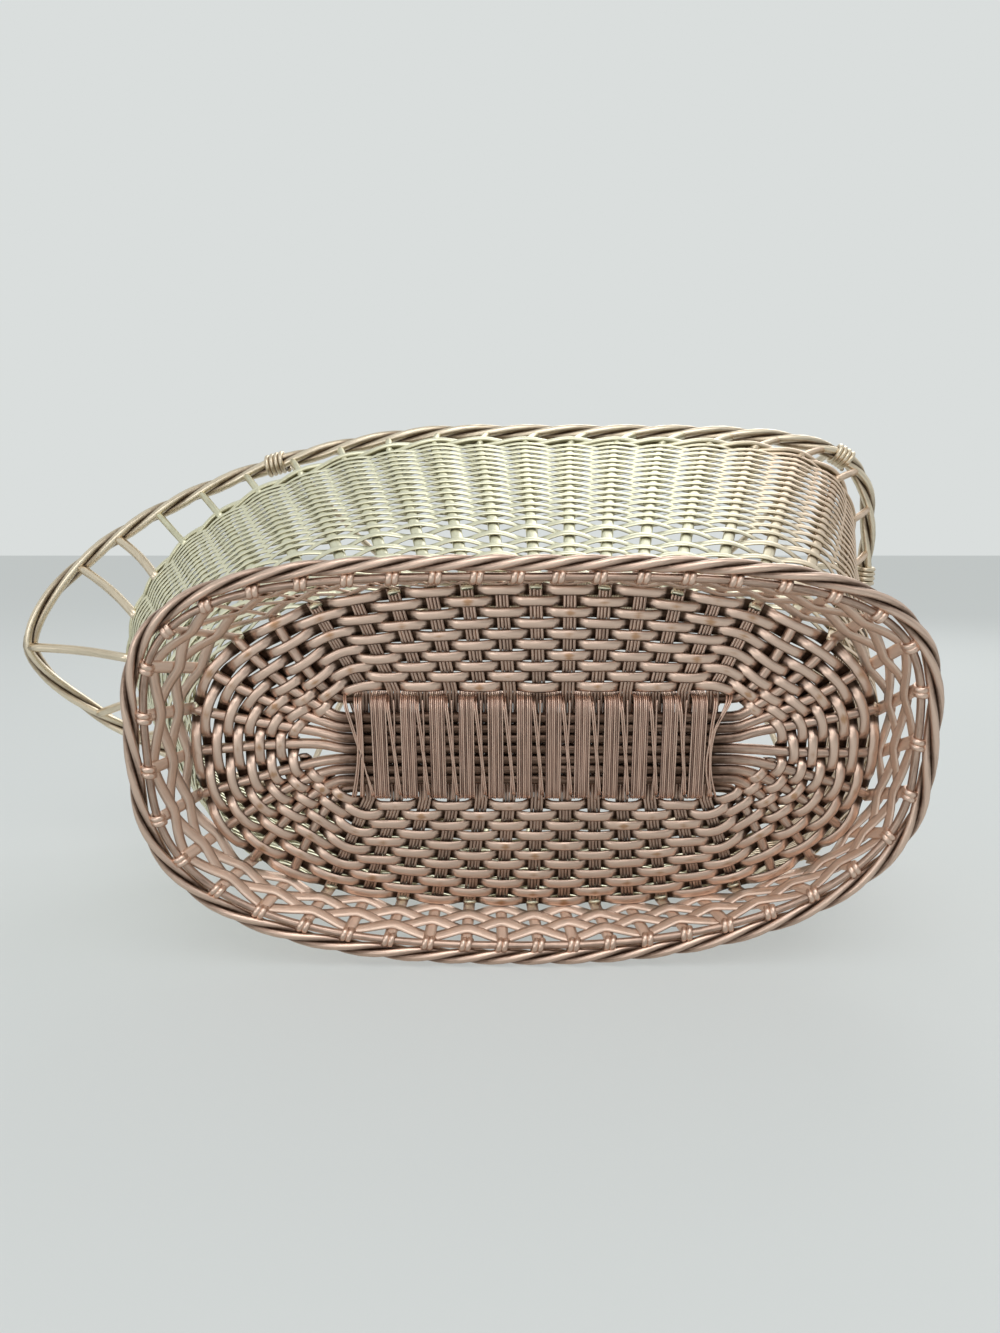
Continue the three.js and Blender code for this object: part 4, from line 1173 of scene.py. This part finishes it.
class BASKET_OT_border(bpy.types.Operator):
    """Twined border of the wall with the stake ends that rise to the rim, and the lip's ribs"""

    bl_idname = "basket.make_border"
    bl_label = "Border and Ribs"

    steps = 10
    sides = 10
    rib_thickening = 1.35
    # Direction that the corners of a stake end are turned to, which doesn't show on round wire.
    upright = (0.3, 0.2, 0.4)

    def execute(self, context):
        """Two strands circle each other once in two stakes. A stake end runs straight to the rim
        but for a bow of sin(pi t), outwards, or upwards at the lip."""
        stake = around(self.steps)
        u = stake_fraction(stake, WALL_CROWDING)
        out = wall_oval.outward(u)
        middle = wall_oval.at(u, WALL_MIDDLE_INSET - 0.5, BORDER_HEIGHT)
        skins = [sweep(middle + circling(out, np.pi * (stake + strand), 1.0, 0.6), out,
                       oval_outline(2.2, 2.0, self.sides, 2.0), closed=True,
                       wear_and_shade=strand_wear_and_shade(self.sides)) for strand in range(2)]
        numbers = np.arange(STAKES)
        u = stake_fraction(numbers, WALL_CROWDING)
        lip = np.minimum(numbers, STAKES - numbers) <= LIP_STAKES
        bow = np.where(lip[:, None], (0, 0, 2.4), wall_oval.outward(u) * 0.5)
        foot = wall_oval.at(u, WALL_MIDDLE_INSET, BORDER_HEIGHT - 3)
        paths = bent(foot, rim_oval.at(rim_fraction(numbers), 3.4, -1.2), bow)
        outline = round_outline(millimetres("rib_diameter"), self.sides)
        skins.append(sweep(paths[~lip], self.upright, outline))
        make_piece("wall_border_twine", skins, ["wall_border"], "wall")
        ribs = sweep(paths[lip], self.upright, outline * self.rib_thickening, wear_and_shade=0.8)
        names = numbered("lip_rib", 2 * LIP_STAKES + 1)
        make_piece("lip_ribs_round", [ribs], names, "rim")
        return {"FINISHED"}


class BASKET_OT_rim(bpy.types.Operator):
    """Rim rope of three strands, with the wound seats that tie the handle wires to it"""

    bl_idname = "basket.make_rim"
    bl_label = "Rim"

    # The strands' circle, the stakes in a turn and the first angle.
    twist = (1.35, 3.0, 0.4)
    # A seat's turns, length, radius, first angle and number of places along it.
    seat_shape = (4.3, 7.0, 3.1, 1.2, 84)

    def execute(self, context):
        strand = millimetres("rim_strand_diameter")
        skin = rope(rim_oval, rope_fraction, strand, *self.twist, RIM_ROPE_INSET)
        make_piece("rim_rope_strands", [skin], ["rim_rope"], "rim")
        outline = oval_outline(1.5, 1.4, 10, 2.0)
        skins = []
        for side in (1, -1):
            for stake in (FRONT_SEAT, OUTER_REAR_SEAT, INNER_REAR_SEAT):
                middle = rim_fraction(side * stake)
                path, offset = collar(rim_oval, middle, *self.seat_shape, RIM_ROPE_INSET)
                skins.append(sweep(path, offset, outline, wear_and_shade=0.75))
        names = [f"rim_seat_{spot}_{side}" for spot in ("front", "rear_outer", "rear_inner")
                 for side in ("left", "right")]
        make_piece("rim_seat_wraps", skins, names, "rim")
        return {"FINISHED"}


class BASKET_OT_handle(bpy.types.Operator):
    """Four handle wires and the grip's winding"""

    bl_idname = "basket.make_handle"
    bl_label = "Handle"

    leg_rise = 42.65
    leg_lead = 34.0
    leg_steps = 26
    grip_half_width = 6.6
    grip_half_height = 1.95
    grip_corner_radius = 1.9
    grip_turns = 84
    steps_in_turn = 22

    def execute(self, context):
        outline = round_outline(millimetres("handle_wire_diameter"), 12)
        skins = []
        for side in (1, -1):
            outer, inner = (side * share * HANDLE_WIRE_PITCH for share in (1.5, 0.5))
            front = self.leg(side * FRONT_SEAT, GRIP_FRONT, outer, 1)
            back = self.leg(side * OUTER_REAR_SEAT, GRIP_BACK, outer, -1)
            short = self.leg(side * INNER_REAR_SEAT, GRIP_BACK, inner, -1)
            tip = np.array([[GRIP_FRONT - HANDLE_WIRE_PITCH, inner, GRIP_HEIGHT]])
            for path in ((front, back[::-1]), (short, tip)):
                skins.append(sweep(np.concatenate(path), SIDEWAYS, outline, wear_and_shade=0.7))
        names = [f"handle_{kind}_wire_{side}" for kind in ("outer", "inner")
                 for side in ("left", "right")]
        make_piece("handle_wires", skins, names, "rim")
        make_piece("grip_winding", [self.grip()], ["handle_wrap"], "rim")
        return {"FINISHED"}

    def leg(self, stake, grip_end, across, direction):
        """Cubic Bezier from the seat, 42 mm up, to 34 mm beside the grip's end and into it."""
        foot = rim_oval.at(rim_fraction(stake), 2.25, 3.2)
        end = np.array([grip_end, across, GRIP_HEIGHT])
        lead = end + np.array([direction * self.leg_lead, 0, 0])
        t = np.linspace(0, 1, self.leg_steps)[:, None]
        return ((1 - t) ** 3 * foot + 3 * t * (1 - t) ** 2 * (foot + UP * self.leg_rise)
                + 3 * t ** 2 * (1 - t) * lead + t ** 3 * end)

    def grip(self):
        """Helix of a 1 mm wire round the four handle wires, along a rounded rectangle."""
        wide, high = self.grip_half_width, self.grip_half_height
        loop = rounded_loop([(-wide, -high), (wide, -high), (wide, high), (-wide, high)],
                            self.grip_corner_radius)
        turn = np.linspace(0, self.grip_turns, self.grip_turns * self.steps_in_turn + 1)
        y, z = even_loop(loop, turn).T
        x = GRIP_BACK + 0.6 + (GRIP_FRONT - GRIP_BACK - 1.2) * turn / self.grip_turns
        return sweep(np.stack([x, y, z + GRIP_HEIGHT], -1), ALONG, round_outline(1.0, 6), wear_and_shade=0.8)


class BASKET_PT_parts(bpy.types.Panel):
    """Lists the basket's parts and sizes"""

    bl_idname = "BASKET_PT_parts"
    bl_label = "Wine Basket"
    bl_space_type = "VIEW_3D"
    bl_region_type = "UI"
    bl_category = "Wine Basket"

    def draw(self, context):
        for operator in OPERATORS:
            self.layout.operator(operator.bl_idname)
        for group in (context.scene.basket_sizes, context.scene.basket_stage):
            for key in group.__annotations__:
                self.layout.prop(group, key)


OPERATORS = (
    BASKET_OT_stage,
    BASKET_OT_foot,
    BASKET_OT_skirt,
    BASKET_OT_base_weave,
    BASKET_OT_side_spokes,
    BASKET_OT_slath_rods,
    BASKET_OT_slath_bindings,
    BASKET_OT_slath_end_windings,
    BASKET_OT_wall_weave,
    BASKET_OT_border,
    BASKET_OT_rim,
    BASKET_OT_handle,
)
CLASSES = (BasketSizes, StageSettings, *OPERATORS, BASKET_PT_parts)


def register():
    for cls in CLASSES:
        bpy.utils.register_class(cls)
    bpy.types.Scene.basket_sizes = bpy.props.PointerProperty(type=BasketSizes)
    bpy.types.Scene.basket_stage = bpy.props.PointerProperty(type=StageSettings)


def unregister():
    del bpy.types.Scene.basket_stage
    del bpy.types.Scene.basket_sizes
    for cls in reversed(CLASSES):
        bpy.utils.unregister_class(cls)


def main():
    register()
    for operator in OPERATORS:
        group, name = operator.bl_idname.split(".")
        getattr(getattr(bpy.ops, group), name)()


if __name__ == "__main__":
    main()
